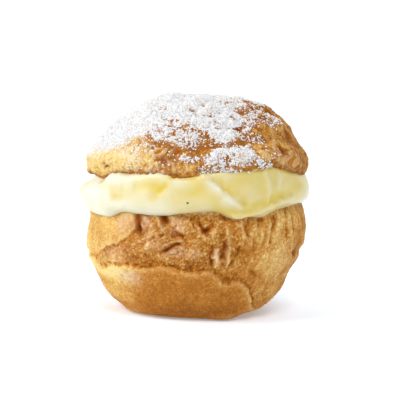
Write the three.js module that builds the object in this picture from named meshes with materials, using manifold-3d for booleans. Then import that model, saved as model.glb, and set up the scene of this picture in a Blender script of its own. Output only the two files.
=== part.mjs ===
// A cream puff: a choux bun cut across, with a thick layer of vanilla custard between its base and
// its cap. Millimetres, +Z up, origin at the centre of the flat underside. A bearing is an angle in
// degrees round the bun, 0 at the front (-Y) and growing towards the right (+X).
import * as THREE from "three";
import { mergeVertices } from "three/addons/utils/BufferGeometryUtils.js";
import Module from "manifold-3d";

// Driving dimensions
const BASE_HEIGHT = 37.2; // from the underside to the middle of the lower cut
const CAP_FLOOR = 45.8; // height of the middle of the upper cut
const TOP = 73.8; // height of the crown
const BASE_RADIUS = 36.4; // base at its widest
const CAP_RADIUS = 37.8; // cap at its brim
const CUSTARD_RADIUS = 38.3; // custard at its bulge
const FOOT_RADIUS = 19; // flat underside
const GAP = 0.45; // clearance between custard and crust

// How far each cut rises from its middle to the edge of the bun, CUT_REACH away
const LOWER_CUT = { right: 2.2, front: 0.8 };
const UPPER_CUT = { right: 1.3, front: 2.6 };
const CUT_REACH = 36;

// Outlines of the three pieces before they are made uneven, as [radius, height]
const BASE_WALL = [
  [FOOT_RADIUS, 0],
  [23.4, 1],
  [27.2, 4.4],
  [31, 10],
  [33.9, 16],
  [35.6, 22],
  [BASE_RADIUS, 28],
  [36.1, 33],
  [34.6, 36.6],
  [33, BASE_HEIGHT],
];
const CAP_DOME = [
  [33, CAP_FLOOR],
  [35.4, CAP_FLOOR + 1],
  [37.3, 49.4],
  [CAP_RADIUS, 51.8],
  [36.9, 54.2],
  [35, 57],
  [32.2, 60.8],
  [28.8, 64.6],
  [24.6, 68],
  [18.5, 71.2],
  [10, 73.3],
  [0, TOP],
];
const LIP = BASE_HEIGHT - 0.2; // lower lip of the custard
const ROOF = 54; // top of the custard before the cap is cut out of it
const CUSTARD_BEAD = [
  [33, LIP],
  [36, LIP + 0.3],
  [37.9, LIP + 2],
  [CUSTARD_RADIUS, LIP + 4.4],
  [37.7, LIP + 7],
  [36.6, LIP + 9.4],
  [35.4, LIP + 12],
  [33, ROOF],
];

const SEGMENTS = 88;
const BASE_RINGS = 24;
const CAP_RINGS = 21;
const CUSTARD_RINGS = 14;

// Folds and creases: each follows a path of [bearing, height] places, stands `rise` proud of the
// surface (or sinks below it) and is `width` from its crest to its edge.
const BASE_FOLDS = [
  // crevices under the rim, with a smooth facet and a ridge between them
  { path: [[-32.4, 35.5], [-30.7, 32.7], [-31.2, 30.8]], rise: -1.6, width: 1 },
  { path: [[-15.6, 36], [-14.8, 32.3]], rise: -1.6, width: 0.9 },
  { path: [[-22.1, 35.2], [-18.7, 32]], rise: 0.7, width: 1.2 },
  // hooked fold, and the shade under it
  { path: [[-14.7, 32.4], [-12.9, 30.2], [-8.8, 28.9], [-6.4, 28.8]], rise: 1.1, width: 0.9 },
  { path: [[-6.4, 28.8], [-12.5, 27.5], [-16, 26.3]], rise: 0.9, width: 0.9 },
  { path: [[-9.6, 31.3], [-6, 29.3]], rise: -0.8, width: 0.7 },
  { path: [[-6.2, 28], [-12.6, 26.2], [-16.5, 24.8]], rise: -1.3, width: 0.8 },
  // slanting folds to its left
  { path: [[-17.5, 31.1], [-20.7, 29.2], [-25.7, 27.2], [-31.3, 25.1]], rise: 0.9, width: 0.7 },
  { path: [[-16.1, 29.7], [-19.6, 28], [-22.4, 26.6], [-27.3, 23.5]], rise: 0.8, width: 0.7 },
  { path: [[-17.8, 26.4], [-22.4, 25.1], [-26.7, 22.8], [-28.5, 20]], rise: 0.7, width: 0.8 },
  // hollow below the rim in the middle
  { path: [[1.3, 34.8], [6, 31.2], [11.4, 34.5]], rise: -1.5, width: 1.2 },
  { path: [[-3, 35.5], [0.2, 32.4]], rise: -0.8, width: 0.7 },
  { path: [[0.6, 35], [-1.1, 32]], rise: 0.6, width: 0.7 },
  { path: [[13, 37], [15.2, 35.8]], rise: -1.2, width: 0.8 },
  // ear-shaped fold and its hollow
  { path: [[13, 33.2], [17, 31.1], [18.7, 26.5], [18.2, 22.4], [14.8, 20.1]], rise: 1.2, width: 0.8 },
  { path: [[10.4, 25.5], [12.3, 23.6], [13.4, 22.4], [14.8, 20.1]], rise: 0.9, width: 0.7 },
  { path: [[15.8, 28], [15.3, 25], [16.4, 22.6]], rise: -1.4, width: 1.2 },
  { path: [[8.8, 24.6], [11, 20.4]], rise: -0.7, width: 0.9 },
  { path: [[25.2, 25.8], [25.3, 23.7], [21.2, 20.2]], rise: -0.8, width: 0.7 },
  // wrinkles, pits and a blister on the right
  { path: [[47, 36.5], [46.1, 33.6], [42.9, 31.3], [41.9, 27.5]], rise: -1.2, width: 0.7 },
  { path: [[54.1, 35.5], [55.9, 28.5]], rise: -1, width: 0.8 },
  { path: [[36, 36], [33.5, 29.5]], rise: -0.7, width: 0.7 },
  { path: [[28.6, 35.6], [27.6, 30]], rise: -0.7, width: 0.8 },
  { path: [[69.3, 22.9], [73, 21.3]], rise: -1.4, width: 0.9 },
  { path: [[43.4, 25.5], [42.8, 24.8]], rise: -0.6, width: 0.8 },
  { path: [[35.2, 17.4], [40.5, 15.8]], rise: -0.7, width: 1.1 },
  { path: [[-10.8, 18.9], [-6.7, 17.8]], rise: -0.8, width: 0.5 },
];
const CAP_FOLDS = [
  // burst blisters on the right
  { path: [[46, 70.6], [52, 69.9]], rise: -1.1, width: 1.1 },
  { path: [[60, 69.8], [67, 69.2]], rise: -1.4, width: 0.9 },
  { path: [[21, 64.6], [28, 64.1]], rise: -0.9, width: 0.7 },
  { path: [[52, 58.6], [55, 56.9]], rise: -1.7, width: 1.3 },
  { path: [[62, 63.4], [68, 60.4]], rise: -1.2, width: 0.9 },
  { path: [[44, 67.9], [48, 67.4]], rise: -0.8, width: 0.8 },
  { path: [[72, 66], [79, 64.4]], rise: -1, width: 1 },
  { path: [[50, 55.6], [57, 55.2]], rise: 0.8, width: 1.2 },
  // pits beside the brim, and the dip between two sugared folds
  { path: [[-56, 49.6], [-52, 49.9]], rise: -1, width: 0.9 },
  { path: [[-61, 51.4], [-57, 51.1]], rise: -1.2, width: 0.9 },
  { path: [[-18.5, 54.6], [-16.5, 53.7]], rise: -0.9, width: 1 },
  { path: [[56, 49.4], [59, 48.6]], rise: -1, width: 0.8 },
  { path: [[-4, 59], [4, 59.6], [13, 60.2]], rise: -1.1, width: 2.2 },
  { path: [[9, 56.4], [20, 57.6], [34, 54]], rise: 1, width: 2.8 },
];
const CUSTARD_FOLDS = [
  { path: [[-13.5, 48], [-17.5, 44.5], [-21, 40.5]], rise: -1, width: 1.4 }, // two spoonfuls meet
  { path: [[-47, 41.2], [-41, 41.6]], rise: -1, width: 2 }, // dimple in the left lobe
  { path: [[-35, 45.4], [-52, 46.2]], rise: 1, width: 2.4 },
  { path: [[4, 48], [11, 44], [16.8, 40.4], [21, 38.4]], rise: 1.1, width: 1.3 }, // spoon's drag
  { path: [[9, 48], [18, 43], [25, 41]], rise: -0.7, width: 2 },
  { path: [[37.5, 51], [39.5, 44.8], [44, 42]], rise: 0.6, width: 1.3 },
  { path: [[20, 37], [33, 37.6], [41, 39.4], [52, 40.8]], rise: 1, width: 1.2 }, // rolled lip
  { path: [[26, 39.8], [36, 40.6], [48, 42.8]], rise: -0.9, width: 1.3 },
];
const FINEST = 1.5; // the narrowest fold that these solids carry; a finer one is made this wide

// The rest of the way round, each piece has folds like these, placed by a fixed rule.
const SCATTER = { start: 84, sweep: 200, length: 8, climb: 6 };
const BASE_SCATTER = { count: 22, seed: 3, low: 19, high: 34, rise: 1 };
const CAP_SCATTER = { count: 12, seed: 7, low: 50, high: 68, rise: 0.9 };
const CUSTARD_SCATTER = { count: 10, seed: 11, low: 39, high: 46, rise: 0.7 };

// The smooth band of crust round the foot has a torn edge, which runs low on one side. Its waves
// are [bearing, rise, width in degrees].
const BAND = { top: 17.4, tornTop: 4, tornAt: 72, torn: 20, whole: 50, thick: 0.9, lip: 0.9, fade: 7 };
const BAND_WAVES = [
  [-58, -1.2, 9],
  [-38, 1, 6],
  [-16, 1.9, 9],
  [20, -3.2, 9],
  [142, -1.6, 9],
  [168, 1.8, 12],
  [196, -2, 10],
  [226, 1.6, 9],
  [252, -1.4, 12],
  [276, 1.2, 8],
];

// Where the foot stands out in a knob or is set back: `out` at a bearing, spread over `width`
// degrees and fading out above `height`
const FOOTINGS = [
  { at: 27, out: 3, width: 14, height: 3 },
  { at: -66, out: 2.4, width: 26, height: 2.4 },
  { at: 92, out: -3, width: 38, height: 3.8 }, // under the torn side of the band
  { at: 190, out: 1.8, width: 22, height: 3 },
];

// Lobes of custard that hang below the rim of the base, as [bearing, drop, width in degrees]
const DROPS = [
  [-60, 1.5, 10],
  [-50, 1.3, 5],
  [-18, 1.3, 13],
  [2, 0.5, 12],
  [21, 2.9, 7],
  [36, 3.5, 11],
  [56, 1, 9],
  [90, 0.9, 12],
  [122, 2.2, 11],
  [160, 1.2, 14],
  [201, 2.4, 12],
  [243, 1.5, 13],
  [276, 1.4, 9],
];
const LEAST_DROP = 0.1;

// Arches and dips of the brim of the cap, as [bearing, rise, width in degrees]
const ARCHES = [
  [36, 2.6, 14],
  [18, 0.6, 10],
  [-5, -2.2, 10],
  [-60, -1.6, 9],
  [69, -0.5, 12],
  [150, 1.2, 24],
  [215, -0.8, 16],
];

// The custard sags on the left: its shoulder draws in below the brim.
const SAG = { at: -86, depth: 2.7, width: 40, from: 39.5, to: 45.5 };

const { smoothstep: smooth, lerp, clamp, degToRad } = THREE.MathUtils;
const gauss = (x) => Math.exp(-x * x);

// The signed difference between two bearings, in degrees.
function turn(a, b) {
  return ((((a - b) % 360) + 540) % 360) - 180;
}

// The sum of some humps round the bun.
function humps(list, bearing) {
  return list.reduce((sum, [at, size, width]) => sum + size * gauss(turn(bearing, at) / width), 0);
}

// A fixed random number in -1..1 for three whole numbers.
function chance(i, j, k) {
  const s = Math.sin(i * 127.1 + j * 311.7 + k * 74.7) * 43758.5453;
  return (s - Math.floor(s)) * 2 - 1;
}

// Smooth noise in -1..1 that varies over about `size` millimetres.
function lumps(p, size, seed) {
  const q = [p.x / size + seed, p.y / size - seed, p.z / size];
  const cell = q.map(Math.floor);
  const [u, v, w] = q.map((c, n) => smooth(c - cell[n], 0, 1));
  const at = (a, b, c) => chance(cell[0] + a, cell[1] + b, cell[2] + c);
  const side = (c) => lerp(lerp(at(0, 0, c), at(1, 0, c), u), lerp(at(0, 1, c), at(1, 1, c), u), v);
  return lerp(side(0), side(1), w);
}

function scattered({ count, seed, low, high, rise }) {
  const folds = [];
  for (let i = 0; i < count; i++) {
    const bearing = SCATTER.start + (SCATTER.sweep * (i + 0.5 + 0.4 * chance(i, seed, 1))) / count;
    const z = lerp(low, high, 0.5 + 0.5 * chance(i, seed, 2));
    const end = [bearing + SCATTER.length * chance(i, seed, 3), z + SCATTER.climb * chance(i, seed, 4)];
    folds.push({
      path: [[bearing, z], [end[0], clamp(end[1], low, high)]],
      rise: rise * (i % 2 ? 1 : -1.2),
      width: 1.9 + 0.4 * chance(i, seed, 5),
    });
  }
  return folds;
}

// The place at a bearing and height on a turned outline that warp has moved.
function placeOn(outline, warp, bearing, z) {
  const b = degToRad(bearing);
  const ring = outline.map(({ x: r, y }) => {
    const p = new THREE.Vector3(r * Math.sin(b), -r * Math.cos(b), y);
    warp(p, bearing);
    return p;
  });
  return ring.reduce((best, p) => (Math.abs(p.z - z) < Math.abs(best.z - z) ? p : best));
}

// How high the folds stand at a place, as a function of the place.
function foldsOn(corners, warp, folds) {
  const outline = curveOf(corners).getSpacedPoints(200);
  const laid = folds.map(({ path, rise, width }) => {
    const places = path.map((place) => placeOn(outline, warp, ...place));
    const lines = places.slice(1).map((end, i) => new THREE.Line3(places[i], end));
    const wide = Math.max(width, FINEST);
    return { lines, rise: rise * Math.sqrt(width / wide), wide };
  });
  const nearest = new THREE.Vector3();
  const distance = (line, p) => line.closestPointToPoint(p, true, nearest).distanceTo(p);
  return (p) =>
    laid.reduce((sum, { lines, rise, wide }) => {
      const away = Math.min(...lines.map((line) => distance(line, p)));
      return sum + rise * gauss(away / wide);
    }, 0);
}

// How much a cut lies above its middle at a place.
function tilt(cut, p) {
  return (cut.right * p.x - cut.front * p.y) / CUT_REACH;
}

function curveOf(corners) {
  return new THREE.SplineCurve(corners.map(([r, z]) => new THREE.Vector2(r, z)));
}

// Points of a flat disc's rings, for the start or end of an outline.
function disc(radii, z) {
  return radii.map((r) => new THREE.Vector2(r, z));
}

// Turns an outline round Z, moves each point by warp, then out along the surface by relief.
function turned(points, warp, relief) {
  const g = new THREE.LatheGeometry(points, SEGMENTS).rotateX(Math.PI / 2);
  const position = g.getAttribute("position");
  const normal = g.getAttribute("normal");
  const p = new THREE.Vector3();
  const n = new THREE.Vector3();
  for (let i = 0; i < position.count; i++) {
    p.fromBufferAttribute(position, i);
    n.fromBufferAttribute(normal, i);
    const onAxis = Math.hypot(p.x, p.y) < 1e-6;
    const column = Math.floor(i / points.length) % SEGMENTS;
    const bearing = onAxis ? 0 : (360 * column) / SEGMENTS;
    if (onAxis) n.set(0, 0, 1);
    warp(p, bearing);
    p.addScaledVector(n, relief(p, bearing));
    position.setXYZ(i, p.x, p.y, p.z);
  }
  g.deleteAttribute("normal");
  g.deleteAttribute("uv");
  return mergeVertices(g, 1e-4);
}

// Height of the torn edge of the band round the foot.
function bandTop(bearing) {
  const whole = smooth(Math.abs(turn(bearing, BAND.tornAt)), BAND.torn, BAND.whole);
  return lerp(BAND.tornTop, BAND.top, whole) + whole * humps(BAND_WAVES, bearing);
}

// The band stands proud just under its edge and thins towards the foot.
function bandRelief(p, bearing) {
  const below = bandTop(bearing) - p.z;
  return BAND.thick * (below < 0 ? gauss(below / BAND.lip) : Math.exp(-below / BAND.fade));
}

// Upright wrinkles in the crust at the front right, below the rim.
function wrinkleRelief(p, bearing) {
  const strength = 0.45 * smooth(p.z, 24, 29) * gauss(turn(bearing, 55) / 26);
  return strength * Math.sin(34 * degToRad(bearing) + p.z / 5);
}

// The smooth plate of crust at the front left, which ends in a slanting edge.
function plateRelief(p, bearing) {
  const inside = smooth(turn(-33, bearing) + 1.2 * (30 - p.z), -2, 5);
  return 0.5 * inside * gauss(turn(bearing, -55) / 24);
}

function baseRelief(p, bearing) {
  const craggy = smooth(p.z, bandTop(bearing) - 1, bandTop(bearing) + 3);
  const swell = 0.7 * lumps(p, 12, 5) + (0.2 + 0.5 * craggy) * lumps(p, 5, 9);
  const plate = craggy * plateRelief(p, bearing);
  return smooth(p.z, 0, 3) * (swell + plate + bandRelief(p, bearing) + wrinkleRelief(p, bearing));
}

// How far the foot stands out at a place.
function footing(p, bearing) {
  const share = ({ at, width, height }) => gauss(p.z / height) * gauss(turn(bearing, at) / width);
  return FOOTINGS.reduce((sum, f) => sum + f.out * share(f), 0);
}

function baseShape() {
  const wall = curveOf(BASE_WALL).getSpacedPoints(BASE_RINGS);
  const points = [...disc([0, 11], 0), ...wall, ...disc([22, 0], BASE_HEIGHT)];
  const warp = (p, bearing) => {
    p.z *= 1 + tilt(LOWER_CUT, p) / BASE_HEIGHT;
    const share = 1 + footing(p, bearing) / (FOOT_RADIUS + p.z);
    p.set(p.x * share, p.y * share, p.z);
    p.x += lerp(-0.5 * smooth(p.z, 1, 6), 0.5, smooth(p.z, 22, 30));
  };
  const folds = foldsOn(BASE_WALL, warp, [...BASE_FOLDS, ...scattered(BASE_SCATTER)]);
  const relief = (p, bearing) => {
    const belowCut = BASE_HEIGHT + tilt(LOWER_CUT, p) - p.z;
    return smooth(belowCut, 0.1, 1.6) * (baseRelief(p, bearing) + folds(p));
  };
  return turned(points, warp, relief);
}

function capShape() {
  const dome = curveOf(CAP_DOME).getSpacedPoints(CAP_RINGS);
  const points = [...disc([0, 22], CAP_FLOOR), ...dome];
  const warp = (p, bearing) => {
    const low = 1 - (p.z - CAP_FLOOR) / (TOP - CAP_FLOOR);
    const outer = smooth(Math.hypot(p.x, p.y), 20, 34);
    p.x += 1.6 * smooth(p.z, 58, 66);
    p.z += tilt(UPPER_CUT, p) * low + humps(ARCHES, bearing) * outer * low * low;
  };
  const folds = foldsOn(CAP_DOME, warp, [...CAP_FOLDS, ...scattered(CAP_SCATTER)]);
  const relief = (p, bearing) => {
    const aboveCut = p.z - (CAP_FLOOR + tilt(UPPER_CUT, p) + humps(ARCHES, bearing));
    const swell = 0.8 * lumps(p, 11, 21) + 0.5 * lumps(p, 4.5, 33);
    return smooth(aboveCut, 0.1, 1.6) * (swell + folds(p));
  };
  return turned(points, warp, relief);
}

// How far the custard's wall stands out: lobes at both sides, a sagging shoulder and slow waves.
function custardSwell(p, bearing) {
  const lobes = 0.9 * gauss(turn(bearing, -62) / 26) + 0.7 * gauss(turn(bearing, 78) / 22);
  const sag = SAG.depth * gauss(turn(bearing, SAG.at) / SAG.width) * smooth(p.z, SAG.from, SAG.to);
  return lobes - sag + 0.5 * lumps(p, 13, 41) + 0.25 * lumps(p, 6, 47);
}

// The custard before the crusts are cut out of it. Its lower lip follows the rim of the base.
function custardShape() {
  const bead = curveOf(CUSTARD_BEAD).getSpacedPoints(CUSTARD_RINGS);
  const points = [...disc([0, 28], LIP - 4), ...bead, ...disc([0], ROOF)];
  const warp = (p, bearing) => {
    const lower = tilt(LOWER_CUT, p) - LEAST_DROP - humps(DROPS, bearing);
    const upper = tilt(UPPER_CUT, p) + humps(ARCHES, bearing);
    p.z += lerp(lower, upper, smooth(p.z, LIP, LIP + 8));
  };
  const folds = foldsOn(CUSTARD_BEAD, warp, [...CUSTARD_FOLDS, ...scattered(CUSTARD_SCATTER)]);
  const relief = (p, bearing) => {
    const outer = smooth(Math.hypot(p.x, p.y), 33.5, 36);
    return outer * (custardSwell(p, bearing) + folds(p));
  };
  return turned(points, warp, relief);
}

const wasm = await Module();
wasm.setup();

function solidOf(geometry) {
  const mesh = new wasm.Mesh({
    numProp: 3,
    vertProperties: new Float32Array(geometry.getAttribute("position").array),
    triVerts: new Uint32Array(geometry.index.array),
  });
  return new wasm.Manifold(mesh);
}

// The solid of a shape grown by the gap on every side, to cut its neighbour with.
function cutterOf(geometry) {
  const grown = geometry.clone();
  grown.computeVertexNormals();
  const position = grown.getAttribute("position");
  const normal = grown.getAttribute("normal");
  const p = new THREE.Vector3();
  const n = new THREE.Vector3();
  for (let i = 0; i < position.count; i++) {
    p.fromBufferAttribute(position, i);
    n.fromBufferAttribute(normal, i);
    p.addScaledVector(n, GAP);
    position.setXYZ(i, p.x, p.y, p.z);
  }
  return solidOf(grown);
}

// The largest closed piece of a solid, as a geometry.
function geometryOf(solid) {
  const pieces = solid.decompose();
  const main = pieces.reduce((a, b) => (b.volume() > a.volume() ? b : a));
  const mesh = main.getMesh();
  const g = new THREE.BufferGeometry();
  g.setAttribute("position", new THREE.BufferAttribute(mesh.vertProperties, 3));
  g.setIndex(new THREE.BufferAttribute(mesh.triVerts, 1));
  return g;
}

const base = baseShape();
const cap = capShape();
const filling = solidOf(custardShape()).subtract(cutterOf(base)).subtract(cutterOf(cap));
const custard = geometryOf(filling);

const bakedCrust = new THREE.MeshStandardMaterial({ color: "#c98f45", roughness: 0.55, metalness: 0 });
const sugaredCrust = new THREE.MeshStandardMaterial({ color: "#dcc09a", roughness: 0.7, metalness: 0 });
const vanillaCustard = new THREE.MeshStandardMaterial({ color: "#eee2a4", roughness: 0.35, metalness: 0 });

function node(name, geometry, material) {
  const mesh = new THREE.Mesh(geometry, material);
  mesh.name = name;
  return mesh;
}

const puff = new THREE.Group();
puff.add(
  node("choux_base", base, bakedCrust),
  node("custard_layer", custard, vanillaCustard),
  node("choux_cap", cap, sugaredCrust),
);

export default puff;
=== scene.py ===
"""A cream puff in a pale studio: browned choux crusts, vanilla custard and icing sugar.

The file is laid out as an add-on and run as a script. Shapes are worked out in millimetres, in the
frame's own axes: +Z up, origin at the centre of the flat underside. They become metres as each mesh
is made. A bearing is an angle in degrees round the puff, 0 at the front (-Y) and growing to the
right (+X).
"""

import math

import bmesh
import bpy
import numpy as np
from bpy.props import FloatProperty, FloatVectorProperty, IntProperty, PointerProperty
from mathutils import Matrix, Vector


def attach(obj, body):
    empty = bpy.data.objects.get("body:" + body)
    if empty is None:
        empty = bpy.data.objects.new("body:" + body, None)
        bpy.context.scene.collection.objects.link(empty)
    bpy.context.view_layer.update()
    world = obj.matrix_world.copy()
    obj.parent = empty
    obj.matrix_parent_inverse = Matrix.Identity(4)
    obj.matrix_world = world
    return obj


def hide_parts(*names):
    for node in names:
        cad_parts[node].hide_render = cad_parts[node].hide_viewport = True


bl_info = {
    "name": "Cream Puff",
    "version": (1, 0, 0),
    "blender": (4, 5, 0),
    "location": "View3D > Sidebar > Puff",
    "description": "Bakes, fills and dusts a cream puff in a pale studio",
    "category": "Object",
}

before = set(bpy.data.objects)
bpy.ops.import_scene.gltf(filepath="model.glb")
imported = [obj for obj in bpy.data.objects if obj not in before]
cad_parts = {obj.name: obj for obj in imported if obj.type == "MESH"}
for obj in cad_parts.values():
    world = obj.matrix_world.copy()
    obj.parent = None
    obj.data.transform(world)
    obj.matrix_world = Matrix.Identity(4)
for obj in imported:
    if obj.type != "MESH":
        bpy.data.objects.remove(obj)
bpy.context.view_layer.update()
BODY = "root"
MM = 0.001

# ---- Driving dimensions, in millimetres, the same as the solids' ----

BASE_HEIGHT = 37.2  # from the underside to the middle of the lower cut
CAP_FLOOR = 45.8  # height of the middle of the upper cut
TOP = 73.8  # height of the crown
LIP = BASE_HEIGHT - 0.2  # lower lip of the custard
BASE_RADIUS = 36.4
CAP_RADIUS = 37.8
CUSTARD_RADIUS = 38.3
FOOT_RADIUS = 19
CUT_RADIUS = 33  # of the flat part of each cut, inside its rim
CROWN_SHIFT = 1.6  # how far the crown stands to the right

# How far each cut rises from its middle to the edge of the bun, CUT_REACH away
LOWER_CUT = {"right": 2.2, "front": 0.8}
UPPER_CUT = {"right": 1.3, "front": 2.6}
CUT_REACH = 36

# Outlines of the pieces before they are made uneven, as (radius, height)
BASE_WALL = [
    (FOOT_RADIUS, 0), (23.4, 1), (27.2, 4.4), (31, 10), (33.9, 16), (35.6, 22), (BASE_RADIUS, 28),
    (36.1, 33), (34.6, 36.6), (CUT_RADIUS, BASE_HEIGHT),
]
CAP_DOME = [
    (CUT_RADIUS, CAP_FLOOR), (35.4, CAP_FLOOR + 1), (37.3, 49.4), (CAP_RADIUS, 51.8), (36.9, 54.2),
    (35, 57), (32.2, 60.8), (28.8, 64.6), (24.6, 68), (18.5, 71.2), (10, 73.3), (0, TOP),
]
CUSTARD_BEAD = [
    (CUT_RADIUS, LIP), (36, LIP + 0.3), (37.9, LIP + 2), (CUSTARD_RADIUS, LIP + 4.4), (37.7, LIP + 7),
    (36.6, LIP + 9.4), (35.3, LIP + 11.2), (33.4, LIP + 10.6),
]
TUCK = 0.5  # how far the custard reaches into each crust, so that no gap shows
CLOSER = 0.3  # how much closer the faces stand at the front, where the detail is finest

# Where the foot stands out or is set back: (bearing, out, width in degrees, height). The last two
# draw in only the skin, not the solid.
FOOTINGS = [
    (27, 3, 14, 3), (-66, 2.4, 26, 2.4), (92, -3, 38, 3.8), (190, 1.8, 22, 3), (68, -2.8, 22, 3.4),
    (-80, -2.4, 20, 2.4),
]

# Humps round the bun, as (bearing, rise, width in degrees): the lobes of custard that hang over the
# base, the arches of the cap's brim, and where the brim stands a little higher or lower than those
DROPS = [
    (-60, 1.5, 10), (-50, 1.3, 5), (-18, 1.3, 13), (2, 0.5, 12), (21, 2.9, 7), (36, 3.5, 11),
    (56, 1, 9), (90, 0.9, 12), (122, 2.2, 11), (160, 1.2, 14), (201, 2.4, 12), (243, 1.5, 13),
    (276, 1.4, 9),
]
LEAST_DROP = 0.1  # of the custard between its lobes
ARCHES = [
    (36, 2.6, 14), (18, 0.6, 10), (-5, -2.2, 10), (-60, -1.6, 9), (69, -0.5, 12), (150, 1.2, 24),
    (215, -0.8, 16),
]
BRIM_LIFTS = [(-24, -0.7, 8), (-8, -1, 7), (4, 0.7, 6), (26, -1.3, 8), (42, 0.7, 6), (59, 1.3, 8)]
BRIM_BULGE = 0.012  # how much wider the brim is for each millimetre that it hangs lower

# Low swellings of the crown: (x, y, rise, reach)
CROWN_SWELLS = [(-10, -2, 1.1, 6), (-1, -2, -0.5, 5), (11, -2, 0.4, 6), (27, -4, -0.8, 7)]
SAG = {"at": -86, "depth": 2.7, "width": 40, "low": 39.5, "high": 45.5}  # of the custard's left end

# The smooth band of crust round the foot. Round torn_at it is torn away, down to torn_top, and its
# edge waves up and down by (bearing, rise, width in degrees).
BAND = {"top": 17.4, "torn_top": 4, "torn_at": 72, "torn": 20, "whole": 50, "thick": 0.9, "fade": 7}
BAND_WAVES = [
    (-58, -1.2, 9), (-38, 1, 6), (-16, 1.9, 9), (20, -3.2, 9), (10, 1.6, 5.5), (142, -1.6, 9),
    (168, 1.8, 12), (196, -2, 10), (226, 1.6, 9), (252, -1.4, 12), (276, 1.2, 8),
]
# Lower edge of the smooth plate of crust at the front left: (bearing, height)
PLATE_EDGE = [
    (-118, 37), (-100, 27), (-80, 18.5), (-62, 20.6), (-50, 23.7), (-43, 25), (-36.5, 28),
    (-32, 31), (-29.5, 38),
]
CRAGGIEST = (-6, 34)  # the bearing where the base is craggiest, and the width of that stretch

# Folds and creases: (path of (bearing, height) places, rise, width from crest to edge). Those with
# a rise below 0 are cut in.
BASE_FOLDS = [
    # crevices under the rim, with a smooth facet and a ridge between them
    ([(-32.3, 36), (-31, 33.6), (-30.8, 31)], -1.4, 1.2),
    ([(-17, 36.6), (-16, 34)], -1.6, 1.0),
    ([(-15.4, 33.4), (-11, 31), (-6.4, 28.9)], -1.1, 0.6),
    ([(-21.7, 35.4), (-18.7, 33.1), (-15.6, 30.7)], 0.9, 0.9),
    ([(-28.3, 34.4), (-25.5, 33), (-22.6, 31.5)], 0.6, 1.7),
    ([(-12, 35.1), (-8.5, 32.7), (-5.3, 30.9)], 0.5, 1.7),
    # hooked fold, and the shade under it
    ([(-15, 33), (-11, 30.8), (-7.4, 28.6)], 1.1, 0.9),
    ([(-7.2, 28.6), (-11, 27.4), (-15, 26)], 0.3, 0.8),
    ([(-8, 27), (-11.4, 25.8), (-15.2, 24.4)], -1.0, 0.6),
    # a fan of fine folds to its left
    ([(-13, 29.8), (-20, 28), (-30.3, 24.6)], 0.6, 0.5),
    ([(-14.5, 27.8), (-20.6, 26.6), (-27.9, 24.1)], 0.5, 0.45),
    ([(-17.2, 30.6), (-24, 28.6), (-32.4, 25.5)], 0.45, 0.45),
    ([(-16.6, 29.6), (-23, 27.6), (-29, 25.4)], -0.5, 0.45),
    ([(-20, 31), (-27, 28.9), (-33.4, 27.2)], 0.35, 0.4),
    ([(-15.6, 25.4), (-20.6, 23.4), (-24, 20.8)], 0.4, 0.5),
    ([(-19, 24.4), (-23, 22)], -0.6, 0.5),
    # hollow below the rim in the middle
    ([(0.8, 34.8), (4.9, 31.2), (8.9, 33.8)], -1.5, 0.85),
    ([(4.8, 34.4), (4.8, 32.4)], -0.8, 1.6),
    ([(0.4, 34.6), (1.9, 32.3)], 0.7, 0.5),
    ([(-3, 35.5), (-1.4, 33)], -0.8, 0.7),
    ([(13, 37), (15.2, 35.8)], -1.2, 0.8),
    # ear-shaped fold, its hollow and the shiny knob beside it
    ([(14.9, 33.1), (17.6, 29.3), (19.4, 24.9), (19.2, 20.5)], 1.1, 0.5),
    ([(16, 27.8), (17, 25.2), (15.5, 21.9)], -1.0, 1.1),
    ([(11.2, 24.6), (13.1, 22.6), (14.2, 20.7)], 1.0, 0.8),
    ([(9.8, 25.8), (9.6, 22.4), (11, 20.4)], -1.0, 0.6),
    ([(25.2, 25.8), (25.3, 23.7), (21.2, 20.2)], -0.8, 0.7),
    # wrinkles, pits and a blister on the right
    ([(47, 36.5), (46.1, 33.6), (42.9, 31.3), (41.9, 27.5)], -1.2, 0.6),
    ([(43.6, 33.8), (42.4, 29)], 0.5, 0.6),
    ([(54.1, 35.5), (55.9, 28.5)], -1.0, 0.6),
    ([(60.4, 35), (62.6, 29.4)], -0.8, 0.6),
    ([(36, 36), (33.5, 29.5)], -0.8, 0.55),
    ([(28.6, 35.6), (27.6, 30)], -0.8, 0.6),
    ([(24, 33.5), (25.6, 29.5), (24.4, 27)], 0.5, 0.6),
    ([(69.3, 22.9), (73, 21.3)], -1.4, 0.9),
    ([(43.4, 25.5), (42.8, 24.8)], -0.6, 0.8),
    ([(35.2, 17.4), (40.5, 15.8)], -0.7, 1.1),
    ([(-10.8, 18.9), (-6.7, 17.8)], -0.8, 0.5),
]
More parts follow.
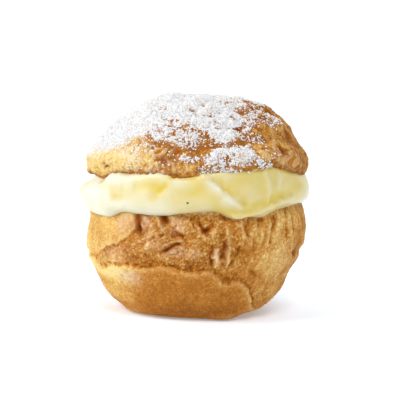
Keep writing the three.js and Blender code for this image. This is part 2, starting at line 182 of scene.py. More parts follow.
CAP_FOLDS = [
    # burst blisters on the right
    ([(49, 70.6), (56, 70)], -1.2, 1.2),
    ([(67, 69), (74, 68.2)], -1.7, 0.9),
    ([(17.5, 64.6), (24.5, 64.1)], -1.0, 0.8),
    ([(49.4, 57.2), (50, 56.6)], -2.0, 1.2),
    ([(50, 55.2), (52, 54.8)], 1.0, 0.9),
    # dents in the sugared crown
    ([(-10, 69.6), (-6, 69.8)], -0.9, 1.1),
    ([(-35, 69.6), (-30, 70)], -0.9, 1.0),
    ([(-44, 72), (-32, 72.2)], -0.7, 1.0),
    ([(4, 72.4), (14, 72.4)], -0.8, 1.0),
    ([(-52, 64), (-49, 63.4)], -0.8, 1.2),
    ([(-27, 66.4), (-22, 66)], -0.7, 1.2),
    # more pits on the right, and the ridge under one of them
    ([(65.4, 63), (67.4, 61.2)], -0.9, 1.1),
    ([(44, 67.9), (48, 67.4)], -0.8, 0.8),
    ([(72, 66), (79, 64.4)], -1.0, 1.0),
    ([(50, 55.6), (57, 55.2)], 0.8, 1.2),
    # pits beside the brim, and the dip between two sugared folds
    ([(-56, 49.6), (-52, 49.9)], -1.0, 0.9),
    ([(-61, 51.4), (-57, 51.1)], -1.2, 0.9),
    ([(-18.5, 54.6), (-16.5, 53.7)], -0.9, 1.0),
    ([(56, 49.4), (59, 48.6)], -1.0, 0.8),
    ([(-4, 59), (4, 59.6), (13, 60.2)], -1.1, 2.2),
    ([(9, 56.4), (20, 57.6), (34, 54)], 1.0, 2.8),
]
CUSTARD_FOLDS = [
    ([(-11, 49), (-15.6, 45.2), (-20.8, 41.6)], -0.26, 1.5),  # where two spoonfuls meet
    ([(-10, 46), (-14, 43), (-17, 41)], 0.1, 2),
    ([(-45, 39.9), (-40.5, 40.1)], -0.7, 1.8),  # dimple in the left lobe
    ([(-35, 45.6), (-52, 46.4)], 0.9, 2.2),
    ([(-60, 42.4), (-52, 39.4), (-40, 38.6)], 0.5, 1.8),
    ([(4, 48.4), (12, 44.4), (16, 42.2), (22, 39.4)], 1.0, 1.2),  # crest dragged by the spoon
    ([(9, 48), (18, 43.6), (25, 41.4)], -0.5, 1.8),
    ([(35.8, 50.5), (39, 45), (38, 41.6)], 0.5, 0.9),
    ([(46, 50.4), (44.6, 45.6)], 0.4, 0.9),
    ([(20, 36.6), (33, 37.4), (37, 38.3), (44, 40), (56, 41.4)], 1.0, 1.1),  # rolled lower lip
    ([(24, 40.4), (34, 40.8), (48, 42.8)], -0.3, 1.2),
]
# The rest of the way round, each piece has folds like these, placed by a fixed rule.
SCATTER = {"start": 84, "sweep": 200, "length": 8, "climb": 6}
BASE_SCATTER = {"count": 22, "seed": 3, "low": 19, "high": 34, "rise": 1.0}
CAP_SCATTER = {"count": 12, "seed": 7, "low": 50, "high": 68, "rise": 0.9}
CUSTARD_SCATTER = {"count": 10, "seed": 11, "low": 39, "high": 46, "rise": 0.7}

# Soft spots: (bearing, height, strength, degrees across, millimetres up). Tones above 0 are browner,
# or yellower in the custard, and those below 0 are paler. The browner spots in pits, crevices and
# under folds are painted shade. In the custard the yellower spots in its valley, dimple and under
# the brim are painted shade, and the paler spots on its left lobe and along its crest are painted
# highlights.
BASE_TONES = [
    (-56, 30, 0.12, 26, 9), (-34, 34, 0.1, 5, 3), (-31, 33, 0.5, 2.6, 3.4),
    (-16.2, 34, 0.4, 2, 3), (-11, 29.6, 0.12, 2.6, 1.4), (16.6, 25.4, 0.3, 1.6, 3),
    (14, 22, -0.2, 4, 4), (-22, 29, -0.1, 7, 2.4), (44, 31, -0.04, 16, 6),
    (50, 20.5, -0.24, 14, 5.5), (77, 30, 0.16, 9, 7), (71, 23, 0.2, 5, 4),
    (38, 16.5, 0.14, 5, 2.6), (-38, 13.5, -0.2, 12, 5), (-62, 10, -0.06, 16, 7),
    (-25, 33.4, 0.16, 3.4, 2.4), (15.6, 20.4, 0.3, 1.4, 0.9), (-48, 21.5, 0.16, 14, 3),
    (-17, 25, 0.1, 6, 2.4), (-9.5, 32, 0.12, 4, 3), (4.9, 33.6, -0.16, 2.4, 1.6),
    (120, 27, -0.14, 22, 8), (162, 20, 0.1, 20, 9), (205, 29, -0.18, 20, 7),
    (250, 26, 0.08, 18, 8),
]
CAP_TONES = [
    (-58, 54, -0.24, 22, 6), (-15, 53.6, 0.36, 8, 3), (-10, 61, 0.38, 16, 3.6),
    (2, 58.5, 0.16, 9, 3), (-3, 49.4, 0.22, 9, 2.2), (16, 54, 0.32, 12, 3), (-36, 55, -0.2, 9, 4),
    (-26, 54.2, -0.34, 7, 3.2), (-22, 56.4, -0.16, 6, 2.4), (34, 66, 0.1, 12, 3),
    (72, 68.6, 0.6, 4, 1), (56, 70.2, 0.5, 5, 0.8), (49.6, 56.9, 0.5, 2.4, 1.4),
    (66, 62.1, 0.5, 4, 2), (-17, 54, 0.4, 2.4, 1.4), (-11, 56.6, 0.3, 3, 1), (68, 53, 0.26, 9, 5),
    (58, 53, 0.16, 16, 4), (44, 53, 0.12, 10, 3), (56, 64, -0.26, 12, 4), (75, 53, 0.12, 8, 4),
    (120, 55, -0.2, 24, 6), (185, 56, 0.12, 24, 6), (240, 52, -0.16, 20, 5),
]
CUSTARD_TONES = [
    (-42.5, 40, 0.26, 3.2, 1.5), (-47, 46.2, -0.7, 8, 1.8), (-58, 41.5, -0.4, 8, 3),
    (-40, 38.4, -0.4, 6, 1.6), (-30, 42.6, 0.06, 10, 5), (-20, 45, 0.3, 4.6, 3),
    (-12.4, 48, 0.36, 1.5, 1.3), (-14.8, 46.2, 0.3, 1.5, 1.3), (-17.4, 44, 0.32, 1.6, 1.3),
    (-10, 45, -0.12, 6, 3), (11, 50.4, 0.3, 6, 0.9), (23, 51.2, 0.4, 8, 1.1),
    (36, 51.8, 0.4, 8, 1.1), (54, 51, 0.3, 9, 1.3), (82, 45, 0.24, 8, 4),
    (-6, 48.2, 0.4, 12, 0.6), (-84, 43, 0.45, 12, 6), (-30, 46.8, -0.1, 8, 1.6),
    (-4, 41, 0.12, 12, 5), (9, 46, -0.44, 4.5, 1.8), (17, 41.6, -0.4, 5, 1.6),
    (34, 45, 0.14, 12, 5), (60, 46, 0.24, 12, 5), (55, 49.2, 0.5, 3, 1), (24, 37.6, 0.4, 12, 1.8),
]
# Painted shade, tinted red-brown, in the bottoms of pits and crevices
BASE_PIT_SHADE = [
    (-31.4, 34.4, 0.8, 1.3, 2), (-30.7, 31.6, 0.5, 1, 1.4), (-16.4, 34.4, 0.6, 1.2, 2.2),
    (-12.4, 31.2, 0.4, 1.5, 1), (-9, 26.7, 0.6, 2, 0.6), (-13, 25.3, 0.5, 2.4, 0.6),
    (-8.4, 30.6, 0.4, 1.6, 0.8), (4.9, 31.4, 1.1, 2, 0.9), (2.6, 33, 0.5, 1.2, 1),
    (7.4, 32.5, 0.5, 1.2, 0.9), (10.2, 25.2, 0.7, 1, 1.4), (15.8, 27.2, 0.4, 1.2, 1.4),
    (72, 22.4, 0.6, 2.2, 1.2), (45, 34.6, 0.4, 1, 2),
]
CAP_PIT_SHADE = [
    (49.6, 56.9, 1.0, 2.2, 1.2), (67, 62, 0.7, 2.5, 1.3), (72, 68.5, 1.2, 4, 0.7),
    (55, 70.2, 0.5, 4, 0.7), (24.6, 64.2, 0.6, 3, 0.7), (-17, 54, 0.6, 1.8, 1.2),
    (-10, 56.5, 0.5, 2, 0.8), (-56, 49.8, 0.4, 2, 0.9),
]
# Where the base swells, and where its egg glaze shines; there the glaze also adds a painted sheen,
# paler and pinker than the skin, to the colour
BASE_SWELLS = [(96, 24, 1.5, 36, 10), (72, 9, 0.4, 24, 5), (-72, 6.5, 0.7, 22, 4.5)]
BASE_GLAZE = [
    (-25.6, 33.2, 1.0, 2.8, 2.4), (-9, 24.4, 0.9, 6, 1.8), (0, 24, 0.5, 3, 2),
    (12.8, 23.4, 1.8, 1.7, 2.2), (16.6, 24.6, 0.6, 1.5, 2.8), (-38, 14.6, 1.4, 7, 2.2),
    (-22, 27.6, 0.6, 6, 3), (-8.6, 33, 1.1, 3.6, 2.4), (-39.5, 32.4, 1.0, 5, 3.2),
    (-46, 22, 0.5, 10, 3.6), (54, 20, 0.2, 14, 6), (130, 25, 0.5, 24, 8), (220, 22, 0.5, 26, 9),
]
# Where the sugar on the crown lies so thin that the crust shows
SUGAR_BARE = [
    (-8, 69.6, 0.34, 4, 0.7), (-33, 69.8, 0.3, 4, 0.6), (-18, 66.4, 0.26, 5, 0.8),
    (72, 68.6, 1, 5, 0.9), (55, 70.2, 0.8, 6, 0.8), (40, 69.7, 0.6, 7, 0.9),
    (24.6, 64.1, 0.7, 4, 0.8), (30, 72, 0.5, 6, 0.5), (150, 68, 0.4, 9, 1),
    (230, 70, 0.4, 9, 0.9),
]

# Where sugar lies on the cap. Its lower edge is a line of (bearing, height) knots round the bun.
SUGAR_EDGE = [
    (-180, 58), (-158, 55), (-132, 60), (-108, 57), (-88, 53.6), (-76, 53.8), (-61, 55.4),
    (-47, 57.4), (-39, 60.4), (-30, 62.4), (-22, 64.6), (-9, 64.8), (3, 63.6), (11, 60.4),
    (15, 59.6), (22, 61.4), (26, 65.4), (31, 69.4), (48, 71.6), (70, 72.4), (92, 70), (112, 64),
    (134, 60), (156, 62), (180, 58),
]
# Patches of sugar below that line: (path of places, reach in millimetres, cover)
SUGAR_PATCHES = [
    ([(10, 56.4), (17, 57.4), (25, 58)], 2.0, 0.8),
    ([(6, 54.4), (16, 54.8), (26, 55.4)], 1.6, 0.58),
    ([(2, 51.6), (14, 51.4), (26, 52)], 1.7, 0.47),
    ([(26, 58), (30, 55), (40, 52.8)], 0.8, 0.8),
    ([(-7, 55), (-1, 55)], 1.3, 0.52),
    ([(0, 55.4), (6, 55.2)], 1.1, 0.5),
    ([(-24, 62.4), (-14, 61.6), (-4, 60.8)], 3.4, 0.64),
    ([(-2, 60.6), (4, 60.2), (12, 60.4)], 1.5, 0.46),
    ([(26, 62), (36, 60.6)], 2.0, 0.46),
    ([(36, 57.4), (43, 56.4)], 1.0, 0.26),
    ([(27, 66), (36, 67.6), (50, 70.2)], 3.4, 0.56),
    ([(52, 66.6), (66, 66.8)], 3.2, 0.4),
    ([(-38, 56), (-26, 56.6)], 3, 0.3),
    ([(-32, 54), (-18, 54.6), (-10, 56)], 4.2, 0.14),
    ([(150, 56), (160, 54.6), (170, 55)], 2.6, 0.36),
]

SEED_PLACES = [(-3.9, 40.5), (96, 42), (131, 39.5), (174, 43), (219, 41), (258, 40)]
FACE_RADIUS = 34  # the custard's face is all that lies outside this
FACE_DEGREE = 0.66  # width of one degree on it

# The white sweep in metres: from its front edge to its foot, round its bend and up to its top
SWEEP = {"front": -2.0, "foot": 0.6, "bend": 0.5, "top": 2.0, "half_width": 2.5}
# Disc lamps: (name, place in metres, size, colour)
LAMPS = [
    ("key", (-1.5, -0.75, 1.3), 1.3, "#fffcf6"),
    ("window", (-1.9, 0.75, 1.05), 1.25, "#ffffff"),
    ("front", (0.4, -1.3, 1.8), 1.0, "#ffffff"),
]


# ---- Settings that a user would change ----


def linear(code):
    """An sRGB hex code as a linear colour with full opacity."""
    channels = [int(code[i : i + 2], 16) / 255 for i in (1, 3, 5)]
    low = [c / 12.92 if c <= 0.04045 else ((c + 0.055) / 1.055) ** 2.4 for c in channels]
    return (*low, 1.0)


def colour(name, about, code):
    look = {"subtype": "COLOR", "size": 4, "min": 0, "max": 1}
    return FloatVectorProperty(name=name, description=about, default=linear(code), **look)


def length(name, about, millimetres):
    look = {"unit": "LENGTH", "min": 0, "precision": 5}
    return FloatProperty(name=name, description=about, default=millimetres * MM, **look)


def amount(name, about, value, unit="NONE"):
    return FloatProperty(name=name, description=about, default=value, unit=unit, min=0)


def number(name, about, value):
    return IntProperty(name=name, description=about, default=value, min=48, max=960)


class CrustSettings(bpy.types.PropertyGroup):
    columns: number("Columns", "Faces round each crust", 480)
    crag_depth: length("Crag Depth", "How far the crags between the folds stand out", 0.24)
    pore_depth: length("Pore Depth", "How deep the burst pores of the crust are", 0.4)
    straw: colour("Straw", "Crust that has hardly browned", "#f4d890")
    gold: colour("Gold", "Crust that has coloured", "#e7c06b")
    caramel: colour("Caramel", "Well baked crust", "#cf9348")
    chestnut: colour("Chestnut", "Crust that faced the heat", "#bb7624")
    toast: colour("Toast", "Crust that baked longest", "#995e22")
    # Painted highlight on the tops of folds; on the cap's front left also the pale crinkles of its
    # crust
    flesh: colour("Pale Crust And Highlight", "Torn edges and tops of folds, paler than the skin", "#f3d9a4")
    # Painted sheen: a paler, pinker colour on the facets where the glaze would catch the light
    film: colour("Painted Sheen", "Dried egg glaze, paler and pinker than the skin", "#efd5ba")
    # Painted shade in creases and pits, tinted red-brown
    scorch: colour("Pit And Crease Shade", "Deep creases and pits", "#98400a")


class CustardSettings(bpy.types.PropertyGroup):
    columns: number("Columns", "Faces round the custard", 480)
    # The body is the custard in the light. The depth is partly deeper yellow custard and partly
    # painted shade, in its folds, its valley and under the brim
    body: colour("Body", "Custard in the light", "#dddbc6")
    depth: colour("Depth", "Custard in its folds", "#d3ba4e")
    seed: colour("Seed", "Vanilla seeds", "#2a1a0e")
    seed_length: length("Seed Length", "Length of a vanilla seed", 0.8)


class SugarSettings(bpy.types.PropertyGroup):
    white: colour("White", "Icing sugar", "#fafbfe")
    # Where sugar lies thin between its clumps, this colour is partly the crust showing through and
    # partly painted shade between the clumps
    shade: colour("Shade", "Icing sugar where it lies thin", "#dad6d0")
    grain: length("Grain", "Width of a clump of sugar", 0.5)
    cover: length("Cover", "How thick the sugar lies", 0.2)
    spacing: length("Spacing", "Distance between loose clumps where they lie closest", 0.56)


class StudioSettings(bpy.types.PropertyGroup):
    distance: length("Camera Distance", "From the camera to the puff", 600)
    field: length("Field", "Width of what the camera sees at the puff", 136.8)
    sky: amount("Sky", "Brightness of the surroundings", 0.4)
    glow: amount("Glow", "Light that the white sweep gives off", 0.26)
    key: amount("Key Light", "Power of the key light", 25, "POWER")
    window: amount("Window", "Power of the light from the left", 8.5, "POWER")
    front: amount("Front Light", "Power of the front light", 22.5, "POWER")


# ---- Shape arithmetic ----


def smooth(x, low, high):
    """0 below low, 1 above high, and a smooth step between."""
    t = np.clip((x - low) / (high - low), 0, 1)
    return t * t * (3 - 2 * t)


def gauss(x):
    return np.exp(-x * x)


def lerp(a, b, t):
    return a + (b - a) * t


def turn(a, b):
    """The signed difference between two bearings, in degrees."""
    return (a - b + 540) % 360 - 180


def near(bearing, at, width):
    """1 at one bearing, fading on both sides of it."""
    return gauss(turn(bearing, at) / width)


def humps(rows, bearing):
    """The sum of some humps at each bearing."""
    return sum(size * near(bearing, at, width) for at, size, width in rows)


def chance(i, j, k):
    """A fixed random number in -1..1 for three whole numbers."""
    s = np.sin(i * 127.1 + j * 311.7 + k * 74.7) * 43758.5453
    return (s - np.floor(s)) * 2 - 1


def lumps(p, size, seed):
    """Smooth noise in -1..1 that varies over about size millimetres, the same as the solids'."""
    q = p / size + np.array([seed, -seed, 0])
    cell = np.floor(q)
    u, v, w = np.moveaxis(smooth(q - cell, 0, 1), -1, 0)
    i, j, k = np.moveaxis(cell, -1, 0)
    sides = []
    for c in (k, k + 1):
        low = lerp(chance(i, j, c), chance(i + 1, j, c), u)
        high = lerp(chance(i, j + 1, c), chance(i + 1, j + 1, c), u)
        sides.append(lerp(low, high, v))
    return lerp(*sides, w)


def scrambled(cell, seed):
    """A whole number in 0..2^32 for each cell of a lattice."""
    h = (cell[..., 0] * 374761393 + cell[..., 1] * 668265263 + cell[..., 2] * 1274126177) & 0xFFFFFFFF
    h = ((h + seed * 2654435761) ^ (h >> 13)) * 1103515245 & 0xFFFFFFFF
    return (h ^ (h >> 16)) * 668265263 & 0xFFFFFFFF


def thirds(h):
    """Three random numbers in -1..1 from each whole number."""
    return np.stack([((h >> s) & 1023) / 511.5 - 1 for s in (0, 10, 20)], -1)


def ripple(p, size, seed):
    """Gradient noise in about -1..1, finer and rounder than lumps."""
    q = p / size
    cell = np.floor(q).astype(np.int64)
    f = q - cell
    u = f * f * f * (f * (f * 6 - 15) + 10)
    total = 0
    for corner in np.ndindex(2, 2, 2):
        c = np.array(corner)
        weight = np.prod(np.where(c, u, 1 - u), -1)
        total = total + weight * np.sum(thirds(scrambled(cell + c, seed)) * (f - c), -1)
    return 1.5 * total


def crumple(p, size, seed):
    """Noise in about -1..1.5 with round bumps and sharp creases between them."""
    return 4 * np.abs(ripple(p, size, seed)) - 1


def stirred(p, size, reach, seed):
    """Places pushed about by up to reach, so that noise read there loses its grain."""
    return p + reach * np.stack([ripple(p, size, seed + n) for n in range(3)], -1)


def pores(p, size, seed, depth, reach, opening):
    """Scattered pores, size apart and fading over reach.

    A pore whose own random number is below the opening is shut, and past it a pore is fully open.
    """
    q = p / size
    cell = np.floor(q).astype(np.int64)
    nearest = np.full(p.shape[:-1], 9.0)
    own = np.zeros(p.shape[:-1])
    for corner in np.ndindex(3, 3, 3):
        c = cell + np.array(corner) - 1
        h = scrambled(c, seed)
        away = np.linalg.norm(c + 0.5 + 0.45 * thirds(h) - q, axis=-1)
        closer = away < nearest
        nearest = np.where(closer, away, nearest)
        own = np.where(closer, (h >> 7 & 1023) / 1023, own)
    return depth * gauss(nearest * size / reach) * smooth(own, *opening)


def spline(corners, steps):
    """Even steps along a smooth curve through a few (radius, height) corners."""
    c = np.array(corners, float)
    ends = np.vstack([c[:1], c, c[-1:]])
    t = np.linspace(0, 1, 40, endpoint=False)[:, None]
    fine = []
    for a, b, d, e in zip(ends, ends[1:], ends[2:], ends[3:]):
        v0, v1 = (d - a) / 2, (e - b) / 2
        bend = (2 * b - 2 * d + v0 + v1) * t**3 + (-3 * b + 3 * d - 2 * v0 - v1) * t**2
        fine.append(bend + v0 * t + b)
    fine = np.vstack([*fine, c[-1:]])
    along = np.append(0, np.cumsum(np.linalg.norm(np.diff(fine, axis=0), axis=1)))
    even = np.linspace(0, along[-1], steps + 1)
    return np.stack([np.interp(even, along, values) for values in fine.T], -1)


def disc(radius, z, count):
    """Rings of a flat disc, from the axis out to just inside its edge."""
    radii = np.linspace(0, radius, count, endpoint=False)
    return np.stack([radii, np.full(count, z)], -1)


def tilt(cut, p):
    """How much a cut lies above its middle at a place."""
    return (cut["right"] * p[..., 0] - cut["front"] * p[..., 1]) / CUT_REACH


def off_axis(p):
    return np.hypot(p[..., 0], p[..., 1])


def bearing_of(p):
    """Bearing of each place, in -180..180."""
    return np.degrees(np.arctan2(p[..., 0], -p[..., 1]))


def flank(bearing, low, high):
    """0 before low, 1 past high and 0 again at the back, for bearings that grow to one side."""
    return smooth(bearing, low, high) * smooth(-bearing, -170, -120)


def around(outline, bearing):
    """The places of an outline at some bearings: one row for each outline point."""
    b = np.radians(bearing)
    radius, z = outline[:, :1], outline[:, 1:]
    return np.stack([radius * np.sin(b), -radius * np.cos(b), z + 0 * b], -1)


def scattered(count, seed, low, high, rise):
    """Folds like the named ones, placed by a fixed rule."""
    folds = []
    for i in range(count):
        aside, height, lean, climb, extra = (chance(i, seed, n) for n in range(1, 6))
        bearing = SCATTER["start"] + SCATTER["sweep"] * (i + 0.5 + 0.4 * aside) / count
        z = lerp(low, high, 0.5 + 0.5 * height)
        end = np.clip(z + SCATTER["climb"] * climb, low, high)
        path = [(bearing, z), (bearing + SCATTER["length"] * lean, end)]
        folds.append((path, rise * (1 if i % 2 else -1.2), 1.9 + 0.4 * extra))
    return folds


def laid(corners, warp, path):
    """A path of (bearing, height) places, as points on a warped shape."""
    outline = spline(corners, 200)
    points = []
    for bearing, z in path:
        ring = warp(around(outline, np.array([bearing])), np.array([bearing]))[:, 0]
        points.append(ring[np.argmin(np.abs(ring[:, 2] - z))])
    return np.array(points)


def distance_to(points, p):
    """How far each place of p is from a line through some points."""
    nearest = np.full(p.shape[:-1], np.inf)
    for a, b in zip(points, points[1:]):
        along = b - a
        share = np.clip((p - a) @ along / (along @ along), 0, 1)
        nearest = np.minimum(nearest, np.linalg.norm(p - a - share[..., None] * along, axis=-1))
    return nearest


def fold_height(corners, warp, folds, p, sharpness=1.4):
    """How high the folds stand. Their lines waver, and their height varies along them."""
    wavering = stirred(p, 2, 0.55, 11)
    uneven = 1 + 0.6 * ripple(p, 2.4, 14)
    total = 0
    for path, rise, width in folds:
        away = distance_to(laid(corners, warp, path), wavering) / width
        total = total + rise * uneven * np.exp(-(away**sharpness))
    return total


def painted(rows, p):
    """The sum of some soft spots."""
    bearing = bearing_of(p)
    return sum(
        strength * near(bearing, at, across) * gauss((p[..., 2] - z) / up)
        for at, z, strength, across, up in rows
    )


def blurred(field, rows, columns):
    """A field on the grid of a turned shape, blurred over some rows and columns."""
    for reach, past_the_edge in ((rows, "edge"), (columns, "wrap")):
        # blurs along the first axis, and then swaps the two
        weights = gauss(np.arange(-3 * reach, 3 * reach + 1) / (1.4 * reach))
        padded = np.pad(field, ((3 * reach, 3 * reach), (0, 0)), past_the_edge)
        parts = [weight * padded[n : n + len(field)] for n, weight in enumerate(weights)]
        field = (sum(parts) / weights.sum()).T
    return field


def smooth_mesh(points, faces):
    mesh = bpy.data.meshes.new("mesh")
    mesh.from_pydata(points, [], faces)
    mesh.shade_smooth()
    return mesh


def put(name, data):
    """Adds an object to the scene, and names its data like itself."""
    data.name = name
    thing = bpy.data.objects.new(name, data)
    bpy.context.scene.collection.objects.link(thing)
    return thing


class Turned:
    """A shape turned round Z as a grid of rings, from its lower pole to its upper pole."""

    def __init__(self, outlines, columns, warp):
        outline = np.vstack(outlines)
        share = np.arange(columns)[None, :] / columns
        self.bearing = 360 * share - CLOSER * np.degrees(np.sin(math.tau * share))
        self.rings = warp(around(outline[1:-1], self.bearing), self.bearing)
        front = np.zeros((1, 1))
        self.poles = [warp(around(outline[[end]], front), front)[0, 0] for end in (0, -1)]

    def normals(self):
        across = np.roll(self.rings, -1, axis=1) - np.roll(self.rings, 1, axis=1)
        n = np.cross(across, np.gradient(self.rings, axis=0))
        return n / np.maximum(np.linalg.norm(n, axis=-1, keepdims=True), 1e-9)

    def push(self, height):
        """Moves every place out along the surface."""
        self.rings = self.rings + self.normals() * height[..., None]
        for end in (0, -1):
            self.poles[end][2] = self.rings[end, :, 2].mean()

    def stands_out(self, rows=4, columns=3):
        """How far each place stands above its surroundings, in millimetres."""
        level = np.stack([blurred(self.rings[..., n], rows, columns) for n in range(3)], -1)
        return np.sum((self.rings - level) * self.normals(), -1)

    def mesh(self, attributes):
        """A mesh in metres, with a value at each point for each attribute."""
        points = np.vstack([self.poles[0], self.rings.reshape(-1, 3), self.poles[1]]) * MM
        here = 1 + np.arange(self.rings[..., 0].size).reshape(self.rings.shape[:2])
        right = np.roll(here, -1, axis=1)
        quads = np.stack([here[:-1], right[:-1], right[1:], here[1:]], -1)
        faces = quads.reshape(-1, 4).tolist()
        faces += [[0, b, a] for a, b in zip(here[0], right[0])]
        faces += [[len(points) - 1, a, b] for a, b in zip(here[-1], right[-1])]
        mesh = smooth_mesh(points.tolist(), faces)
        for key, values in attributes.items():
            flat = np.concatenate([[values[0].mean()], values.ravel(), [values[-1].mean()]])
            layer = mesh.attributes.new(key, "FLOAT", "POINT")
            layer.data.foreach_set("value", flat.astype(np.float32))
        return mesh


def show(name, mesh, material, slot, *nodes):
    """Puts a finished piece in the scene, on the puff's one body."""
    piece = put(name, mesh)
    mesh.materials.clear()
    mesh.materials.append(material)
    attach(piece, BODY)
    if nodes:
        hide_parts(*nodes)


# ---- Materials ----


def add(tree, kind, inputs=(), out=0, **settings):
    """Adds a node with its settings, gives its inputs values or links, and returns one output."""
    node = tree.nodes.new(kind if "Node" in kind else "ShaderNode" + kind)
    for key, value in settings.items():
        setattr(node, key, value)
    for key, value in inputs.items() if isinstance(inputs, dict) else enumerate(inputs):
        if isinstance(value, bpy.types.NodeSocket):
            tree.links.new(value, node.inputs[key])
        else:
            node.inputs[key].default_value = value
    return node.outputs[out] if node.outputs else None


def made_of(finish, *settings):
    """A material named for its finish, which gives the inputs of its shader."""
    material = bpy.data.materials.new(finish.__name__)
    material.use_nodes = True
    tree = material.node_tree
    tree.nodes.clear()
    shader = add(tree, "BsdfPrincipled", finish(tree, *settings))
    add(tree, "OutputMaterial", {"Surface": shader})
    return material


def per(millimetres):
    """The scale of a pattern whose features are this far across."""
    return 1 / (millimetres * MM)


def skin_of(tree, crust, blotches):
    """Colour, normal and grain of baked skin: browned by its map, with painted sheen and highlights,
    and painted shade in its creases.
    """
    place = add(tree, "TexCoord", out="Object")
    rough = add(tree, "Attribute", out="Fac", attribute_name="rough")
    # the grain of the skin is 0.75 mm, bubbles mottle it over 2.6 mm, and blisters are 1.7 mm apart
    fine = {"Vector": place, "Scale": per(0.75), "Detail": 2, "Roughness": 0.65, "Distortion": 1.0}
    coarse = {"Vector": place, "Scale": per(2.6), "Detail": 2, "Roughness": 0.6}
    grain = add(tree, "TexNoise", fine, "Fac")
    mottle = add(tree, "TexNoise", coarse, "Fac")
    blister = add(tree, "TexVoronoi", {"Vector": place, "Scale": per(1.7)}, "Distance")
    blister = {"Value": blister, "From Min": 0.12, "From Max": 0.4, "To Min": 0.5, "To Max": 0.0}
    blister = add(tree, "MapRange", blister)
    # where it is rough, the skin has dried in crinkles 1.6 mm apart, with sharp creases between
    crinkle = {"Vector": place, "Scale": per(1.6), "Detail": 3, "Roughness": 0.65, "Distortion": 0.4}
    crinkle = add(tree, "TexNoise", crinkle, "Fac")
    crinkle = add(tree, "Math", [crinkle, 0.5], operation="SUBTRACT")
    crinkle = add(tree, "Math", [crinkle], operation="ABSOLUTE")
    crinkle = add(tree, "MapRange", {"Value": crinkle, "From Max": 0.14})
    crinkle = add(tree, "Math", [crinkle, rough], operation="MULTIPLY")
    # the colour drifts with the mottling and the grain, most of all where the skin is rough
    both = add(tree, "Math", [mottle, blotches, grain], operation="MULTIPLY_ADD")
    low = 0.1 + 0.5 * blotches
    drift = {"Value": both, "From Min": low, "From Max": low + 0.8, "To Min": -0.46, "To Max": 0.46}
    drift = add(tree, "MapRange", drift)
    harsh = add(tree, "Math", [rough, 0.8, 0.9], operation="MULTIPLY_ADD")
    brown = add(tree, "Attribute", out="Fac", attribute_name="brown")
    tone = add(tree, "Math", [drift, harsh, brown], operation="MULTIPLY_ADD")
    # Rough skin is browner, its crinkle lines are darker as painted shade, and blisters are paler
    for part, share in ((rough, 0.18), (crinkle, -0.26), (blister, -0.4 * blotches)):
        tone = add(tree, "Math", [part, share, tone], operation="MULTIPLY_ADD")
    skin = add(tree, "ValToRGB", {"Fac": tone}, "Color")
    stops = skin.node.color_ramp.elements
    stops[0].color = crust.straw
    stops[1].color = crust.toast
    for position, tint in ((0.22, crust.gold), (0.48, crust.caramel), (0.74, crust.chestnut)):
        stops.new(position).color = tint
    # Mixed in over the skin: painted sheen on glazed facets, painted highlight on the tops of folds
    # and some pale crust, and painted shade in creases and pits
    for name, tint in (("film", crust.film), ("crest", crust.flesh), ("crease", crust.scorch)):
        share = add(tree, "Attribute", out="Fac", attribute_name=name)
        skin = add(tree, "Mix", {0: share, 6: skin, 7: tint}, 2, data_type="RGBA")
    height = grain
    for part, share in ((mottle, 0.8 * blotches), (blister, 0.3 * blotches), (crinkle, 0.5)):
        height = add(tree, "Math", [part, share, height], operation="MULTIPLY_ADD")
    normal = add(tree, "Bump", {"Height": height, "Strength": 1.0, "Distance": 0.6 * MM})
    return skin, normal, grain


def baked_choux(tree, crust):
    """Baked choux brushed with egg: a dull golden crumb, and a thin glaze that shines in patches,
    with a painted sheen on its facets.
    """
    skin, normal, grain = skin_of(tree, crust, 0.36)
    return {
        "Base Color": skin,
        "Roughness": add(tree, "MapRange", {"Value": grain, "To Min": 0.5, "To Max": 0.85}),
        "IOR": 1.45,
        "Specular IOR Level": 0.06,
        "Subsurface Weight": 0.08,
        "Subsurface Radius": (1.6, 0.7, 0.2),
        "Subsurface Scale": MM,
        "Coat Weight": add(tree, "Attribute", out="Fac", attribute_name="glaze"),
        "Coat Roughness": 0.2,
        "Normal": normal,
        "Coat Normal": normal,
    }


